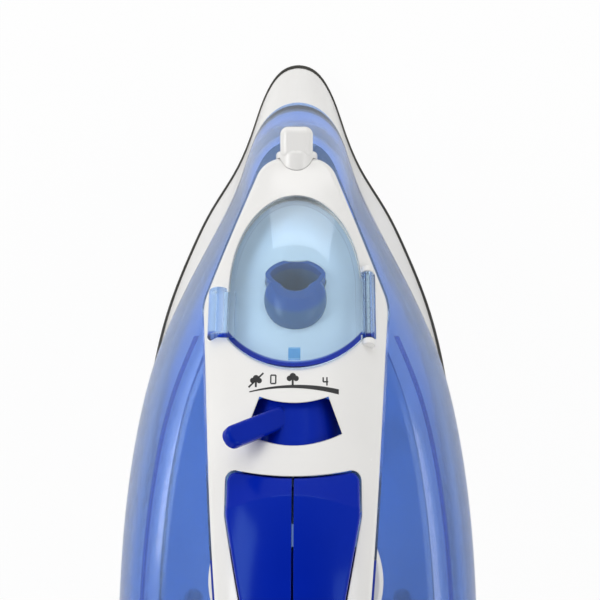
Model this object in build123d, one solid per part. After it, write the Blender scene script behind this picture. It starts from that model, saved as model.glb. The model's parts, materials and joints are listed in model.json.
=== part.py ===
from build123d import *
import os
from math import atan, cos, degrees, radians, sin, sqrt, tan

# Steam iron. Millimetres, ironing face on z = 0, tip towards +Y, mid-plane on x = 0.
# A place along the iron is given as its distance behind the tip of the soleplate.

# Overall
OVERALL_LENGTH = 250.0
HEEL_FOOT = OVERALL_LENGTH - 15.0
HEEL_TILT = 10.0
HEEL_COVER = 4.0
HEEL_TOP = 76.0
FACE_GAP = 0.15
FAR = 400.0
PAST = 1.0
FACING_UP = 0.8
ALONG_Z = 0.999

# Soleplate: outline as shares of its length and of half its width
SOLE_LENGTH = 228.0
SOLE_WIDTH = 115.0
SOLE_BASE = 6.5
SOLE_BEVEL = 1.2
SOLE_SHAPE = (
    (0.009, 0.104), (0.034, 0.182), (0.100, 0.283), (0.161, 0.385), (0.224, 0.539),
    (0.285, 0.659), (0.377, 0.803), (0.472, 0.896), (0.614, 0.965), (0.770, 1.0),
    (0.900, 0.970), (0.965, 0.870), (1.0, 0.700),
)
STEAM_HOLE_R = 1.6
STEAM_HOLE_INSET = 14.0
STEAM_HOLE_PLACES = (34.0, 44.0, 55.0, 67.0, 80.0, 94.0, 109.0, 125.0)
CENTRE_HOLE_PLACES = (22.0, 80.0, 100.0, 120.0)

# Heating element, cast into a ridge on the soleplate
HEATER_R = 3.3
HEATER_SLIP = 0.05
HEATER_RIDGE_R = 5.2
HEATER_SPREAD = 27.0
HEATER_NOSE_SPREAD = 10.0
HEATER_NOSE = 62.0
HEATER_BEND = 108.0
HEATER_END = 203.0
HEATER_BEND_R = 9.0
HEATER_PIN_R = 1.6
HEATER_PIN_LENGTH = 12.0

# Steam chamber
CHAMBER_INSET = 9.0
CHAMBER_NOSE = 18.0
CHAMBER_WALL = 2.6
CHAMBER_END = 150.0
CHAMBER_TOP = 12.4
CHAMBER_COVER = 1.2
CHAMBER_COVER_LAP = 0.5
CHAMBER_SCREWS = ((-34.0, 118.0), (34.0, 118.0), (-29.0, 87.5), (29.0, 87.5))

# Skirt between soleplate and tank
SKIRT_GAP = 0.6
SKIRT_INSET = 1.2
SKIRT_WALL = 2.2
SKIRT_DECK = 2.0
SKIRT_LOW_BOSS = SOLE_BASE + 4.0
SOLE_SCREWS = ((0.0, 46.0), (-36.0, 186.0), (36.0, 186.0))
GASKET = 0.6
GASKET_INSET = 1.0
GASKET_WIDTH = 2.4

# Body: outline as shares of its length and width, and its levels from rim to deck
BODY_SHAPE = (
    (0.012, 0.140), (0.040, 0.235), (0.100, 0.325), (0.160, 0.430), (0.220, 0.552),
    (0.280, 0.668), (0.350, 0.782), (0.450, 0.885), (0.600, 0.968), (0.760, 1.0),
    (0.900, 0.965), (0.960, 0.880), (1.0, 0.700),
)
RIM_Z = 19.0
BULGE_Z = 36.0
FLANK_Z = 50.0
SHOULDER_Z = 58.0
DECK_Z = 62.0
RIM_NOSE = 14.7
BULGE_NOSE = 23.5
FLANK_NOSE = 32.0
SHOULDER_NOSE = 39.0
DECK_NOSE = 43.0
RIM_HALF = 58.0
BULGE_HALF = 60.0
FLANK_HALF = 56.0
SHOULDER_HALF = 51.0
DECK_HALF = 45.0
TANK_WALL = 2.2
NOSE_WALL_SHARE = 1.8
TANK_FLOOR = 2.2
FLOOR_GAP = 0.5
RIB_FRONT = 95.0
RIB_INSET = 0.3
RIB_THICK = 1.4
RIB_LOW = 46.0
REAR_SPLIT = OVERALL_LENGTH - 34.0
NECK_SPLIT = 158.0
DRY_FLOOR_FRONT = (40.0, 38.0)
DRY_FLOOR_BACK = 76.0

# Tongue: plan outline of top cover, neck and handle, with its corner radii
TONGUE_NOSE = 36.8
TONGUE_NOSE_HALF = 10.6
TONGUE_NOSE_R = 9.0
TONGUE_SHOULDER = 84.5
TONGUE_SHOULDER_HALF = 29.2
TONGUE_SHOULDER_R = 16.0
GRIP_FRONT = 168.0
GRIP_FRONT_HALF = 22.4
GRIP_MID = 200.0
GRIP_MID_HALF = 20.2
GRIP_R = 80.0
TONGUE_END = OVERALL_LENGTH - 2.0
TONGUE_END_HALF = 20.8
TONGUE_END_R = 11.0
NECK_PROUD = 0.8

# Top cover: crown radius and height along the middle
CROWN_R = 34.0
CROWN_HALF = 31.0
CROWN_LINE = (
    (33.0, 53.5), (62.0, 73.0), (84.5, 86.9), (103.0, 98.5), (134.0, 119.5),
    (165.0, 130.5), (205.0, 128.5), (230.0, 122.5), (OVERALL_LENGTH + 4.0, 113.5),
)
COVER_WALL = 2.6
COVER_RIM = 4.0
COVER_EDGE_R = 3.0
SEAM_NOSE = (39.0, 46.0, 54.0)
BLOCK_FLOOR = 20.0

# Hand gap under the grip
GAP_TOP = 101.0
GAP_FRONT_LOW = 142.5
GAP_KNEE_Z = 72.0
GAP_KNEE_R = 12.0
GAP_FRONT_HIGH = 163.0
GAP_REAR_LOW = OVERALL_LENGTH - 32.0
GAP_REAR_HIGH = OVERALL_LENGTH - 25.0
GAP_R = 16.0
GRIP_EDGE_R = 5.0
GRIP_SCREWS = (194.0, 212.0)
GRIP_SCREW_REACH = 14.0

# Fill lid, well and spout
LID_HALF = 20.2
LID_NOSE = 51.4
LID_SIDE_FRONT = 80.0
LID_SIDE_REAR = 95.0
LID_END = 103.2
LID_WALL = 2.2
LID_PROUD = 0.9
LID_RIM = 1.8
LID_RIM_DEPTH = 1.6
LID_GAP = 0.5
LID_NOSE_GAP = 1.8
LID_TAB_FRONT = 80.5
LID_TAB_REAR = 94.5
LID_TAB_X = 23.8
LID_TAB_R = 3.2
LID_TAB_RISE = 0.4
LID_TAB_HEIGHT = 1.0
LID_CATCH = (3.6, 3.4, 0.8)
LID_CATCH_PLACE = 99.2
HINGE_X = 22.6
HINGE_FRONT = 73.0
HINGE_REAR = 97.0
HINGE_R = 1.9
HINGE_RISE = 0.9
HINGE_PIN_R = 0.8
HINGE_EAR = 2.0
HINGE_GAP = 0.4
HINGE_LEAF_TRIM = 1.3
RUNNING_GAP = 0.05
WELL_DEPTH = 9.5
WELL_WALL = 1.8
SPOUT_WIDTH = 18.6
SPOUT_ROOF = 8.0
SPOUT_LIP = 7.0
SPOUT_WALL = 1.5
SPOUT_MOUTH = (75.0, 74.0)
SPOUT_LEAN = 50.0
SPOUT_LENGTH = 34.0
SPOUT_GAP = 0.15
HOOD_PLACE = 83.0
HOOD_SIZE = (9.6, 11.0, 6.2)

# Steam lever: a drum that turns in a window of the cover, with a finger
WINDOW_FRONT = 111.6
WINDOW_FRONT_MID = 113.3
WINDOW_FRONT_HALF = 10.2
WINDOW_REAR = 122.2
WINDOW_REAR_MID = 125.2
WINDOW_REAR_HALF = 14.2
DRUM_R = 15.7
DRUM_DEPTH = 17.3
DRUM_LENGTH = 20.2
DRUM_AHEAD = 1.8
DRUM_GAP = 0.5
DRUM_WALL = 3.0
DRUM_WEB = 2.0
DRUM_OPENING = 30.0
DRUM_FROM = -116.0
DRUM_TO = 66.0
DRUM_HUB_R = 4.0
CAM_R = 4.0
CAM_THROW = 5.0
CAM_LENGTH = 4.0
FINGER_FOOT_R = 14.0
FINGER_ROOT = -14.0
FINGER_LEAN = -58.0
FINGER_LENGTH = 18.5
FINGER_WIDTH = 6.6
FINGER_AHEAD = 4.5
FINGER_SWEEP = 8.8
FINGER_THICK = 4.0
FINGER_TIP_R = 3.0
FINGER_TIP_SHARE = 0.6
FINGER_EDGE_R = 1.2
LEVER_PIN_R = 1.5
BRACKET_CHEEK = 2.5
BRACKET_GAP = 0.4
BRACKET_BOSS_R = 5.0
BRACKET_LEG_HALF = 4.0
BRACKET_FOOT = 2.0
BRACKET_FOOT_HALF = 7.0
SHELF_REACH = 5.0
BRACKET_FRONT_LEG = (115.6, 119.1)
BRACKET_REAR_LEG = (138.3, 139.9)

# Drip valve under the lever
VALVE_PLACE = 132.5
VALVE_R = 2.3
VALVE_HEAD_R = 3.0
VALVE_HEAD = 1.0
VALVE_TOP = 86.2
VALVE_BORE_GAP = 0.1
VALVE_TIP = 7.0
SEAT_R = 5.0
SEAT_HEIGHT = 6.0
SEAT_BORE_R = 1.4

# Push buttons and their pumps
BUTTON_FRONT = 132.4
BUTTON_SAG = 1.7
BUTTON_FRONT_BOW = 4.3
BUTTON_TOP_MID = 5.9
BUTTON_TOP_SIDE = 15.4
BUTTON_FRONT_WALL = 11.0
BUTTON_WIDE = 145.0
BUTTON_HALF = 19.2
BUTTON_REAR = 187.0
BUTTON_REAR_HALF = 11.0
BUTTON_REAR_R = 6.0
BUTTON_FRONT_R = 3.0
BUTTON_PROUD = 3.0
BUTTON_EDGE_R = 1.6
BUTTON_DEPTH = 4.0
BUTTON_FLOOR = 118.5
BUTTON_GAP = 0.5
BUTTON_NOSE_GAP = 0.6
BUTTON_PIVOT = 182.0
BUTTON_PIVOT_Z = 123.5
PRESS_ANGLE = 6.0
BUTTON_PIN_R = 1.25
BUTTON_LUG_R = 2.8
BUTTON_WALL = 2.0
BUTTON_SPLIT = 0.6
PIVOT_LUG_TO = 10.0
PIVOT_BOSS_FROM = 13.6
PIVOT_BOSS_TO = 17.0
PIVOT_PIN_HALF = 16.5
PUMP_X = 9.5
PUMP_PLACE = 146.0
PUMP_R = 6.0
PUMP_LOW = 90.0
PUMP_HIGH = 112.0
PUMP_BORE_R = 4.2
PUMP_BASE = 4.0
PUMP_CAP = 2.0
CAP_ROOM = 1.0
CAP_SWEEP = 1.2
PISTON_GAP = 0.08
PISTON_LOW = 103.0
PISTON_HEAD = 5.0
ROD_R = 2.2
ROD_GAP = 0.4
SPRING_R = 3.6
SPRING_WIRE = 0.8
SPRING_GAP = 0.1
TUBE_R = 2.0
TUBE_BORE_R = 1.2
TUBE_BEND_R = 3.5
TUBE_HOLE_GAP = 0.2
INTAKE_BEND = 86.0
INTAKE_PLACE = 128.0
INTAKE_TURN = 66.0
INTAKE_LOW = 25.0
OUTLET_X = 19.5
OUTLET_Z = 95.0
OUTLET_PLACE = 124.0
OUTLET_BEND = 66.0
SPRAY_HOSE_RUN = ((-14.0, 77.0, 66.0), (-9.0, 48.0, 46.4))
SPRAY_HOSE_LOW = 42.2
SPRAY_HOSE_R = 1.6
SPRAY_HOSE_BORE_R = 0.9

# Spray nozzle
NOZZLE_WIDTH = 10.6
NOZZLE_LENGTH = 11.0
NOZZLE_HEIGHT = 8.0
NOZZLE_R = 2.6
NOZZLE_TILT = -5.0
NOZZLE_CENTRE = (32.2, 52.0)
COLLAR_R = 6.8
COLLAR_EDGE_R = 1.4
COLLAR_FRONT = 34.4
COLLAR_REAR = 44.0
COLLAR_Z = 50.0
SPIGOT_R = 2.2
SPIGOT_Z = 51.6
SPIGOT_END = 42.0
SPIGOT_DROP = 3.4
SPIGOT_BEND_R = 3.0
TIP_R = 1.8
TIP_LENGTH = 2.6
TIP_SINK = 0.3
TIP_BORE_R = 0.45

# Temperature dial and thermostat
DIAL_PLACE = 172.0
DIAL_R = 27.7
DIAL_GAP = 0.5
DIAL_LOW = DECK_Z + DIAL_GAP
DIAL_HEIGHT = 8.2
DIAL_EDGE_R = 1.8
DIAL_WALL = 2.4
DIAL_HUB_R = 6.0
SHAFT_R = 2.5
SHAFT_GAP = 0.1
SLEEVE_R = 5.4
THERMO_R = 6.0
THERMO_TOP = 15.0
THERMO_PIN = 3.0
THERMO_PIN_R = 2.0
THERMO_BLADE = (30.0, 7.0, 1.0)
THERMO_BLADE_LEVELS = (0.45, 0.75)
FUSE_R = 2.4
FUSE_LENGTH = 22.0
FUSE_PLACE = (16.0, 172.0)

# Rear end
REAR_WALL = 2.4
REAR_SCREW_Z = 34.0
REAR_BOSS_R = 4.0
SCREW_R = 1.5
SCREW_HEAD_R = 3.0
SCREW_HEAD = 2.0
SCREW_GAP = 0.2
SCREW_SINK = 0.9
SCREW_CROSS = 3.0
HEEL_SINK = 2.8
BUSH_Z = 96.0
BUSH_FLANGE_R = 7.0
BUSH_BODY_R = 5.4
BUSH_BORE_R = 3.75
BUSH_LENGTH = 8.0
TERMINAL = (34.0, 9.0, 14.0)
TERMINAL_Z = 50.0
LAMP_PLACE = 228.0
LAMP_SIZE = (4.0, 7.0)
LAMP_PROUD = 0.8


def y_at(behind):
    """Y of a place given as its distance behind the tip."""
    return OVERALL_LENGTH / 2 - behind


def plan_half(shape, nose, tail, half, z):
    """Right half of a plan outline, from its nose to a straight tail, as a face."""
    flank = [(0, y_at(nose), z)]
    flank += [(half * across, y_at(nose + along * (tail - nose)), z) for along, across in shape]
    curve = Spline(*flank)
    back = Polyline(flank[-1], (0, y_at(tail), z), flank[0])
    return Face(Wire([curve, *back.edges()]))


def both_halves(half):
    return half + mirror(half, about=Plane.YZ)


def sole_half(inset, z, nose):
    return plan_half(SOLE_SHAPE, nose, SOLE_LENGTH - inset, SOLE_WIDTH / 2 - inset, z)


def body_half(z, nose, half, shrink):
    front = nose + NOSE_WALL_SHARE * shrink
    return plan_half(BODY_SHAPE, front, OVERALL_LENGTH - shrink, half - shrink, z)


def body_loft(shrink=0.0):
    """Bulging body from the tank's rim to its deck, shrunk on all sides but the bottom."""
    levels = (
        (RIM_Z, RIM_NOSE, RIM_HALF),
        (BULGE_Z, BULGE_NOSE, BULGE_HALF),
        (FLANK_Z, FLANK_NOSE, FLANK_HALF),
        (SHOULDER_Z - 0.5 * shrink, SHOULDER_NOSE, SHOULDER_HALF),
        (DECK_Z - shrink, DECK_NOSE, DECK_HALF),
    )
    return both_halves(loft([body_half(z, nose, half, shrink) for z, nose, half in levels]))


def tongue_face(grow=0.0):
    right = (
        (TONGUE_NOSE_HALF, TONGUE_NOSE, TONGUE_NOSE_R),
        (TONGUE_SHOULDER_HALF, TONGUE_SHOULDER, TONGUE_SHOULDER_R),
        (GRIP_FRONT_HALF, GRIP_FRONT, GRIP_R),
        (GRIP_MID_HALF, GRIP_MID, GRIP_R),
        (TONGUE_END_HALF, TONGUE_END, TONGUE_END_R),
    )
    corners = [(x, y_at(behind)) for x, behind, radius in right]
    corners += [(-x, y) for x, y in reversed(corners)]
    radii = [radius for x, behind, radius in right]
    outline = FilletPolyline(*corners, radius=radii + radii[::-1], close=True)
    face = make_face(outline)
    return offset(face, amount=grow) if grow else face


def tongue_prism(grow=0.0):
    return extrude(Pos(0, 0, BLOCK_FLOOR) * tongue_face(grow), amount=FAR / 2)


def tongue_half(behind):
    """Half width of the tongue at a place, corners taken as sharp."""
    places = (
        (TONGUE_NOSE, TONGUE_NOSE_HALF),
        (TONGUE_SHOULDER, TONGUE_SHOULDER_HALF),
        (GRIP_FRONT, GRIP_FRONT_HALF),
        (GRIP_MID, GRIP_MID_HALF),
        (TONGUE_END, TONGUE_END_HALF),
    )
    if behind <= places[0][0]:
        return places[0][1]
    for (near, near_half), (far, far_half) in zip(places, places[1:]):
        if behind <= far:
            return near_half + (far_half - near_half) * (behind - near) / (far - near)
    return places[-1][1]


def crown_section(behind, top):
    y = y_at(behind)
    edge = top - CROWN_R + sqrt(CROWN_R**2 - CROWN_HALF**2)
    arc = ThreePointArc((-CROWN_HALF, y, edge), (0, y, top), (CROWN_HALF, y, edge))
    foot = Polyline(
        (CROWN_HALF, y, edge), (CROWN_HALF, y, 0), (-CROWN_HALF, y, 0), (-CROWN_HALF, y, edge)
    )
    return Face(Wire([arc, *foot.edges()]))


def crown_block():
    """Everything under the crowned top of cover and handle."""
    return loft([crown_section(behind, top) for behind, top in CROWN_LINE])


def side_profile(points):
    """Solid across the whole width from an outline of (behind, z) points and edges."""
    flat = Polyline(*[(0, y_at(behind), z) for behind, z in points], close=True)
    return extrude(Face(Wire(flat.edges())), amount=FAR / 2, dir=(1, 0, 0), both=True)


def seam_points(crown, shift=0.0):
    """Places along the seam, a rim below the crown's edge, closer together at the nose."""
    levels = {behind: height_on(crown, tongue_half(behind), behind) for behind in SEAM_NOSE}
    for behind, top in CROWN_LINE:
        levels[behind] = top - CROWN_R + sqrt(CROWN_R**2 - tongue_half(behind)**2)
    return [(0, y_at(behind), levels[behind] - COVER_RIM + shift) for behind in sorted(levels)]


def above_seam(crown, shift=0.0):
    """Everything above the line where the white cover meets the blue shells."""
    line = seam_points(crown, shift)
    curve = Spline(*line)
    first, last = line[0], line[-1]
    ahead = first[1] + FAR
    frame = Polyline(last, (0, last[1], FAR), (0, ahead, FAR), (0, ahead, first[2]), first)
    return extrude(Face(Wire([curve, *frame.edges()])), amount=FAR / 2, dir=(1, 0, 0), both=True)


def hand_gap(grow=0.0):
    """The space for the hand, right across, carried down below the deck."""
    corners = [
        (GAP_FRONT_LOW, BLOCK_FLOOR), (GAP_FRONT_LOW, GAP_KNEE_Z), (GAP_FRONT_HIGH, GAP_TOP),
        (GAP_REAR_HIGH, GAP_TOP), (GAP_REAR_LOW, DECK_Z), (GAP_REAR_LOW, BLOCK_FLOOR),
    ]
    points = [(y_at(behind), z) for behind, z in corners]
    outline = FilletPolyline(*points, radius=[0, GAP_KNEE_R, GAP_R, GAP_R, 0, 0], close=True)
    face = make_face(outline)
    if grow:
        face = offset(face, amount=grow)
    upright = Plane(origin=(0, 0, 0), x_dir=(0, 1, 0), z_dir=(1, 0, 0)) * face
    return extrude(upright, amount=FAR / 2, both=True)


def behind_plane(behind, tilt=0.0):
    """Block of everything behind a plane that meets z = 0 at the given place."""
    block = Pos(0, -FAR / 2, 0) * Box(FAR, FAR, FAR * 2)
    return Pos(0, y_at(behind), 0) * Rot(tilt, 0, 0) * block


def heel_block(shift=0.0):
    return behind_plane(HEEL_FOOT + shift / cos(radians(HEEL_TILT)), HEEL_TILT)


def heel_slab(shift, top):
    """Everything behind the heel's plane, moved by a shift, up to a height."""
    return heel_block(shift) - between(0, FAR, top, FAR, FAR)


def between(front, rear, low, high, half):
    """Box from place to place behind the tip, symmetric about the mid-plane."""
    return Pos(0, (y_at(front) + y_at(rear)) / 2, (low + high) / 2) * Box(
        2 * half, rear - front, high - low
    )


def upright(x, behind, low, high, radius):
    return Pos(x, y_at(behind), (low + high) / 2) * Cylinder(radius, high - low)


def height_on(block, x, behind):
    """Height of a block's top over a place."""
    hits = block.find_intersection_points(Axis((x, y_at(behind), 0), (0, 0, 1)))
    return max(point.Z for point, normal in hits)


def grip_frame():
    """Neck, grip and rear post in one piece, with rounded edges round the hand gap."""
    frame = tongue_prism(NECK_PROUD) - hand_gap()
    rim = [
        edge
        for edge in frame.edges()
        if abs(edge.center().X) > GRIP_MID_HALF / 2
        and y_at(GAP_REAR_HIGH) - PAST < edge.center().Y < y_at(GAP_FRONT_LOW) + PAST
        and BLOCK_FLOOR + PAST < edge.center().Z < GAP_TOP + PAST
        and abs((edge % 0.5).Z) < ALONG_Z
    ]
    return fillet(rim, GRIP_EDGE_R)


def casing(crown):
    """Outer form of tank, neck, lower handle and rear end in one piece, up to the seam."""
    return body_loft() + grip_frame() - above_seam(crown, -FACE_GAP) - heel_block()


def plan_plate(half_face, low, high):
    """Flat plate with a plan outline, from its right half."""
    plate = extrude(half_face, amount=high - low, dir=(0, 0, 1))
    return Pos(0, 0, low) * both_halves(plate)


def lowered(block, depth):
    return Pos(0, 0, -depth) * block


def sole_half_at(behind):
    """Half width of the soleplate at a place, between the points of its outline."""
    along = behind / SOLE_LENGTH
    points = ((0.0, 0.0),) + SOLE_SHAPE
    for (near, near_half), (far, far_half) in zip(points, points[1:]):
        if along <= far:
            share = near_half + (far_half - near_half) * (along - near) / (far - near)
            return share * SOLE_WIDTH / 2
    return SOLE_SHAPE[-1][1] * SOLE_WIDTH / 2


def tube(points, outer, bore, bend):
    """Hose along straight runs with rounded corners."""
    path = FilletPolyline(*[(x, y_at(behind), z) for x, behind, z in points], radius=bend)
    start = Plane(origin=path @ 0, z_dir=path % 0)
    section = start * Circle(outer)
    if bore:
        section -= start * Circle(bore)
    return sweep(section, path=path)


def heater_points():
    z = SOLE_BASE
    right = [
        (HEATER_SPREAD, HEATER_END, z), (HEATER_SPREAD, HEATER_BEND, z),
        (HEATER_NOSE_SPREAD, HEATER_NOSE, z),
    ]
    return right + [(-x, behind, z) for x, behind, z in reversed(right)]


def steam_holes():
    """Holes along both flanks of the steam chamber and down its middle."""
    places = [(0.0, behind) for behind in CENTRE_HOLE_PLACES]
    for behind in STEAM_HOLE_PLACES:
        x = sole_half_at(behind) - STEAM_HOLE_INSET
        places += [(x, behind), (-x, behind)]
    return [upright(x, behind, -PAST, SOLE_BASE + PAST, STEAM_HOLE_R) for x, behind in places]


def make_soleplate():
    plate = plan_plate(sole_half(0.0, 0.0, 0.0), 0.0, SOLE_BASE)
    plate = chamfer(plate.faces().sort_by(Axis.Z)[0].edges(), SOLE_BEVEL)
    wall = plan_plate(sole_half(CHAMBER_INSET, 0.0, CHAMBER_NOSE), SOLE_BASE, CHAMBER_TOP)
    inset = CHAMBER_INSET + CHAMBER_WALL
    room = plan_plate(sole_half(inset, 0.0, CHAMBER_NOSE + 2 * CHAMBER_WALL), SOLE_BASE, CHAMBER_TOP)
    wall -= behind_plane(CHAMBER_END)
    wall -= room - behind_plane(CHAMBER_END - CHAMBER_WALL)
    plate += wall
    ridge = tube(heater_points(), HEATER_RIDGE_R, 0, HEATER_BEND_R)
    plate += ridge - between(0, FAR, -FAR, SOLE_BASE / 2, FAR)
    for x, behind in SOLE_SCREWS:
        plate += upright(x, behind, SOLE_BASE, SKIRT_LOW_BOSS, REAR_BOSS_R)
        plate -= upright(x, behind, SOLE_BASE / 2, SKIRT_LOW_BOSS, SCREW_R)
    for x, behind in CHAMBER_SCREWS:
        plate += upright(x, behind, SOLE_BASE, CHAMBER_TOP, SCREW_HEAD_R)
        plate -= upright(x, behind, SOLE_BASE, CHAMBER_TOP, SCREW_R)
    for hole in steam_holes():
        plate -= hole
    for side in (-1, 1):
        plate -= heater_pin(side, HEATER_PIN_R + HEATER_SLIP)
    return plate - tube(heater_points(), HEATER_R + HEATER_SLIP, 0, HEATER_BEND_R)


def heater_pin(side, radius):
    return long_rod(side * HEATER_SPREAD, SOLE_BASE, HEATER_END, HEATER_END + HEATER_PIN_LENGTH, radius)


def make_heating_element():
    element = tube(heater_points(), HEATER_R, 0, HEATER_BEND_R)
    for side in (-1, 1):
        element += heater_pin(side, HEATER_PIN_R)
    return element


def screw(length):
    """Upright round-headed screw, head on top, under side of the head at z = 0."""
    part = Pos(0, 0, SCREW_HEAD / 2) * Cylinder(SCREW_HEAD_R, SCREW_HEAD)
    part = chamfer(part.edges().sort_by(Axis.Z)[-1], SCREW_HEAD / 4)
    slot = Box(SCREW_CROSS, SCREW_CROSS / 4, SCREW_HEAD)
    part -= Pos(0, 0, SCREW_HEAD) * (slot + Rot(0, 0, 90) * slot)
    return part + Pos(0, 0, -length / 2) * Cylinder(SCREW_R - SCREW_GAP / 2, length)


def make_chamber_cover():
    half = sole_half(CHAMBER_INSET - CHAMBER_COVER_LAP, 0.0, CHAMBER_NOSE - CHAMBER_COVER_LAP)
    plate = plan_plate(half, CHAMBER_TOP, CHAMBER_TOP + CHAMBER_COVER)
    plate -= behind_plane(CHAMBER_END)
    for x, behind in CHAMBER_SCREWS:
        plate -= upright(x, behind, 0, RIM_Z, SCREW_R)
    for x, behind in SOLE_SCREWS:
        plate -= upright(x, behind, 0, RIM_Z, REAR_BOSS_R + SCREW_GAP)
    plate -= upright(0, VALVE_PLACE, 0, RIM_Z, SEAT_BORE_R + SCREW_R)
    return plate - upright(OUTLET_X, OUTLET_PLACE, 0, RIM_Z, TUBE_BORE_R)


def make_chamber_screws():
    top = CHAMBER_TOP + CHAMBER_COVER
    depth = top - SOLE_BASE - SCREW_R
    return [Pos(x, y_at(behind), top) * screw(depth) for x, behind in CHAMBER_SCREWS]


def make_skirt():
    low = SOLE_BASE + SKIRT_GAP
    high = RIM_Z - GASKET
    outer = loft([sole_half(SKIRT_INSET, low, SKIRT_INSET), body_half(high, RIM_NOSE, RIM_HALF, 0)])
    inset = SKIRT_INSET + SKIRT_WALL
    inner = loft([
        sole_half(inset, low, SKIRT_INSET + NOSE_WALL_SHARE * SKIRT_WALL),
        body_half(high - SKIRT_DECK, RIM_NOSE, RIM_HALF, SKIRT_WALL),
    ])
    room = both_halves(inner) - heel_block(-SKIRT_WALL)
    shell = both_halves(outer) - heel_block() - room
    for x, behind in SOLE_SCREWS:
        shell += upright(x, behind, SKIRT_LOW_BOSS, high, REAR_BOSS_R)
        shell -= upright(x, behind, 0, high - SCREW_HEAD, SCREW_R)
        shell -= upright(x, behind, high - SCREW_HEAD, high, SCREW_HEAD_R + SCREW_GAP)
    shell -= upright(0, VALVE_PLACE, 0, RIM_Z, SEAT_R + SCREW_GAP)
    shell -= upright(0, DIAL_PLACE, 0, RIM_Z, SLEEVE_R)
    return shell - upright(OUTLET_X, OUTLET_PLACE, 0, RIM_Z, TUBE_R + TUBE_HOLE_GAP)


def make_sole_screws():
    seat = RIM_Z - GASKET - SCREW_HEAD
    return [Pos(x, y_at(behind), seat) * screw(seat - SOLE_BASE) for x, behind in SOLE_SCREWS]


def make_gasket():
    low = RIM_Z - GASKET
    outer = body_half(0, RIM_NOSE, RIM_HALF, GASKET_INSET)
    inner = body_half(0, RIM_NOSE, RIM_HALF, GASKET_INSET + GASKET_WIDTH)
    ring = plan_plate(outer, low, RIM_Z) - plan_plate(inner, low, RIM_Z)
    ring -= behind_plane(REAR_SPLIT)
    bar = plan_plate(outer, low, RIM_Z) - behind_plane(REAR_SPLIT)
    return ring + (bar & behind_plane(REAR_SPLIT - GASKET_WIDTH))


def dry_floor(shift=0.0):
    """Everything above the floor of the dry room in the neck."""
    front, low = DRY_FLOOR_FRONT
    low += shift
    high = DECK_Z + shift
    return side_profile([
        (front, low), (DRY_FLOOR_BACK, high), (OVERALL_LENGTH, high), (OVERALL_LENGTH, FAR),
        (0, FAR), (0, low),
    ])


def port_holes():
    """Holes for the hoses and the valve, from the chamber up to the dry room."""
    reach = DECK_Z + PAST
    hose = TUBE_R + TUBE_HOLE_GAP
    holes = [upright(side * PUMP_X, INTAKE_PLACE, RIM_Z, reach, hose) for side in (-1, 1)]
    holes.append(upright(OUTLET_X, OUTLET_PLACE, 0, reach, hose))
    holes.append(upright(0, VALVE_PLACE, DECK_Z - 2 * TANK_WALL, reach, VALVE_R + VALVE_BORE_GAP))
    return holes


def tank_rib():
    """Upright rib inside the tank, along the line of its shoulder."""
    outer = body_half(0, SHOULDER_NOSE, SHOULDER_HALF, RIB_INSET)
    inner = body_half(0, SHOULDER_NOSE, SHOULDER_HALF, RIB_INSET + RIB_THICK)
    rib = plan_plate(outer, RIB_LOW, DECK_Z) - plan_plate(inner, RIB_LOW, DECK_Z)
    rib -= between(0, RIB_FRONT, 0, FAR, FAR) + behind_plane(REAR_SPLIT - TANK_WALL / 2)
    return rib & body_loft(TANK_WALL / 2)


def make_tank_shell(body):
    """Tank with its neck: a wet room below, a dry room in the neck above."""
    handle_box = between(NECK_SPLIT, FAR, DECK_Z + PAST, FAR, FAR / 2)
    shell = body - behind_plane(REAR_SPLIT) - handle_box
    ceiling = tongue_prism() & dry_floor(-TANK_WALL)
    water = body_loft(TANK_WALL) - behind_plane(REAR_SPLIT - TANK_WALL) - ceiling
    water -= upright(0, DIAL_PLACE, RIM_Z, DECK_Z, SLEEVE_R)
    dry = tongue_prism(-TANK_WALL) & dry_floor()
    dry -= hand_gap(TANK_WALL)
    shell = shell - water - dry + tank_rib()
    shell -= upright(0, DIAL_PLACE, 0, FAR, SHAFT_R + SHAFT_GAP)
    for hole in port_holes():
        shell -= hole
    shell -= long_rod(0, SPIGOT_Z, 0, SPIGOT_END, SPIGOT_R + SPOUT_GAP)
    return shell - spout_core(SPOUT_GAP)


def make_tank_floor():
    levels = ((RIM_Z, 0.0), (RIM_Z + TANK_FLOOR, TANK_FLOOR))
    rise = BULGE_Z - RIM_Z
    faces = []
    for z, up in levels:
        share = up / rise
        nose = RIM_NOSE + share * (BULGE_NOSE - RIM_NOSE)
        half = RIM_HALF + share * (BULGE_HALF - RIM_HALF)
        faces.append(body_half(z, nose, half, TANK_WALL + FLOOR_GAP))
    plate = both_halves(loft(faces)) - behind_plane(REAR_SPLIT - TANK_WALL - FLOOR_GAP)
    plate -= upright(0, DIAL_PLACE, 0, FAR, SLEEVE_R + FLOOR_GAP)
    plate -= upright(0, VALVE_PLACE, 0, FAR, SEAT_R + SCREW_GAP)
    return plate - upright(OUTLET_X, OUTLET_PLACE, 0, FAR, TUBE_R + TUBE_HOLE_GAP)


def make_valve_seat():
    low = CHAMBER_TOP + CHAMBER_COVER
    high = RIM_Z + TANK_FLOOR + SEAT_HEIGHT
    seat = upright(0, VALVE_PLACE, low, high, SEAT_R)
    seat += upright(0, VALVE_PLACE, RIM_Z + TANK_FLOOR, RIM_Z + TANK_FLOOR + SKIRT_DECK, SEAT_R + SCREW_R)
    seat -= upright(0, VALVE_PLACE, RIM_Z + TANK_FLOOR, high, VALVE_R + VALVE_BORE_GAP)
    for turn in (0, 90):
        slot = Pos(0, y_at(VALVE_PLACE), high - SEAT_HEIGHT / 4) * Rot(0, 0, turn)
        seat -= slot * Box(3 * SEAT_R, VALVE_R, SEAT_HEIGHT / 2)
    return seat - upright(0, VALVE_PLACE, 0, high, SEAT_BORE_R)


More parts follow.
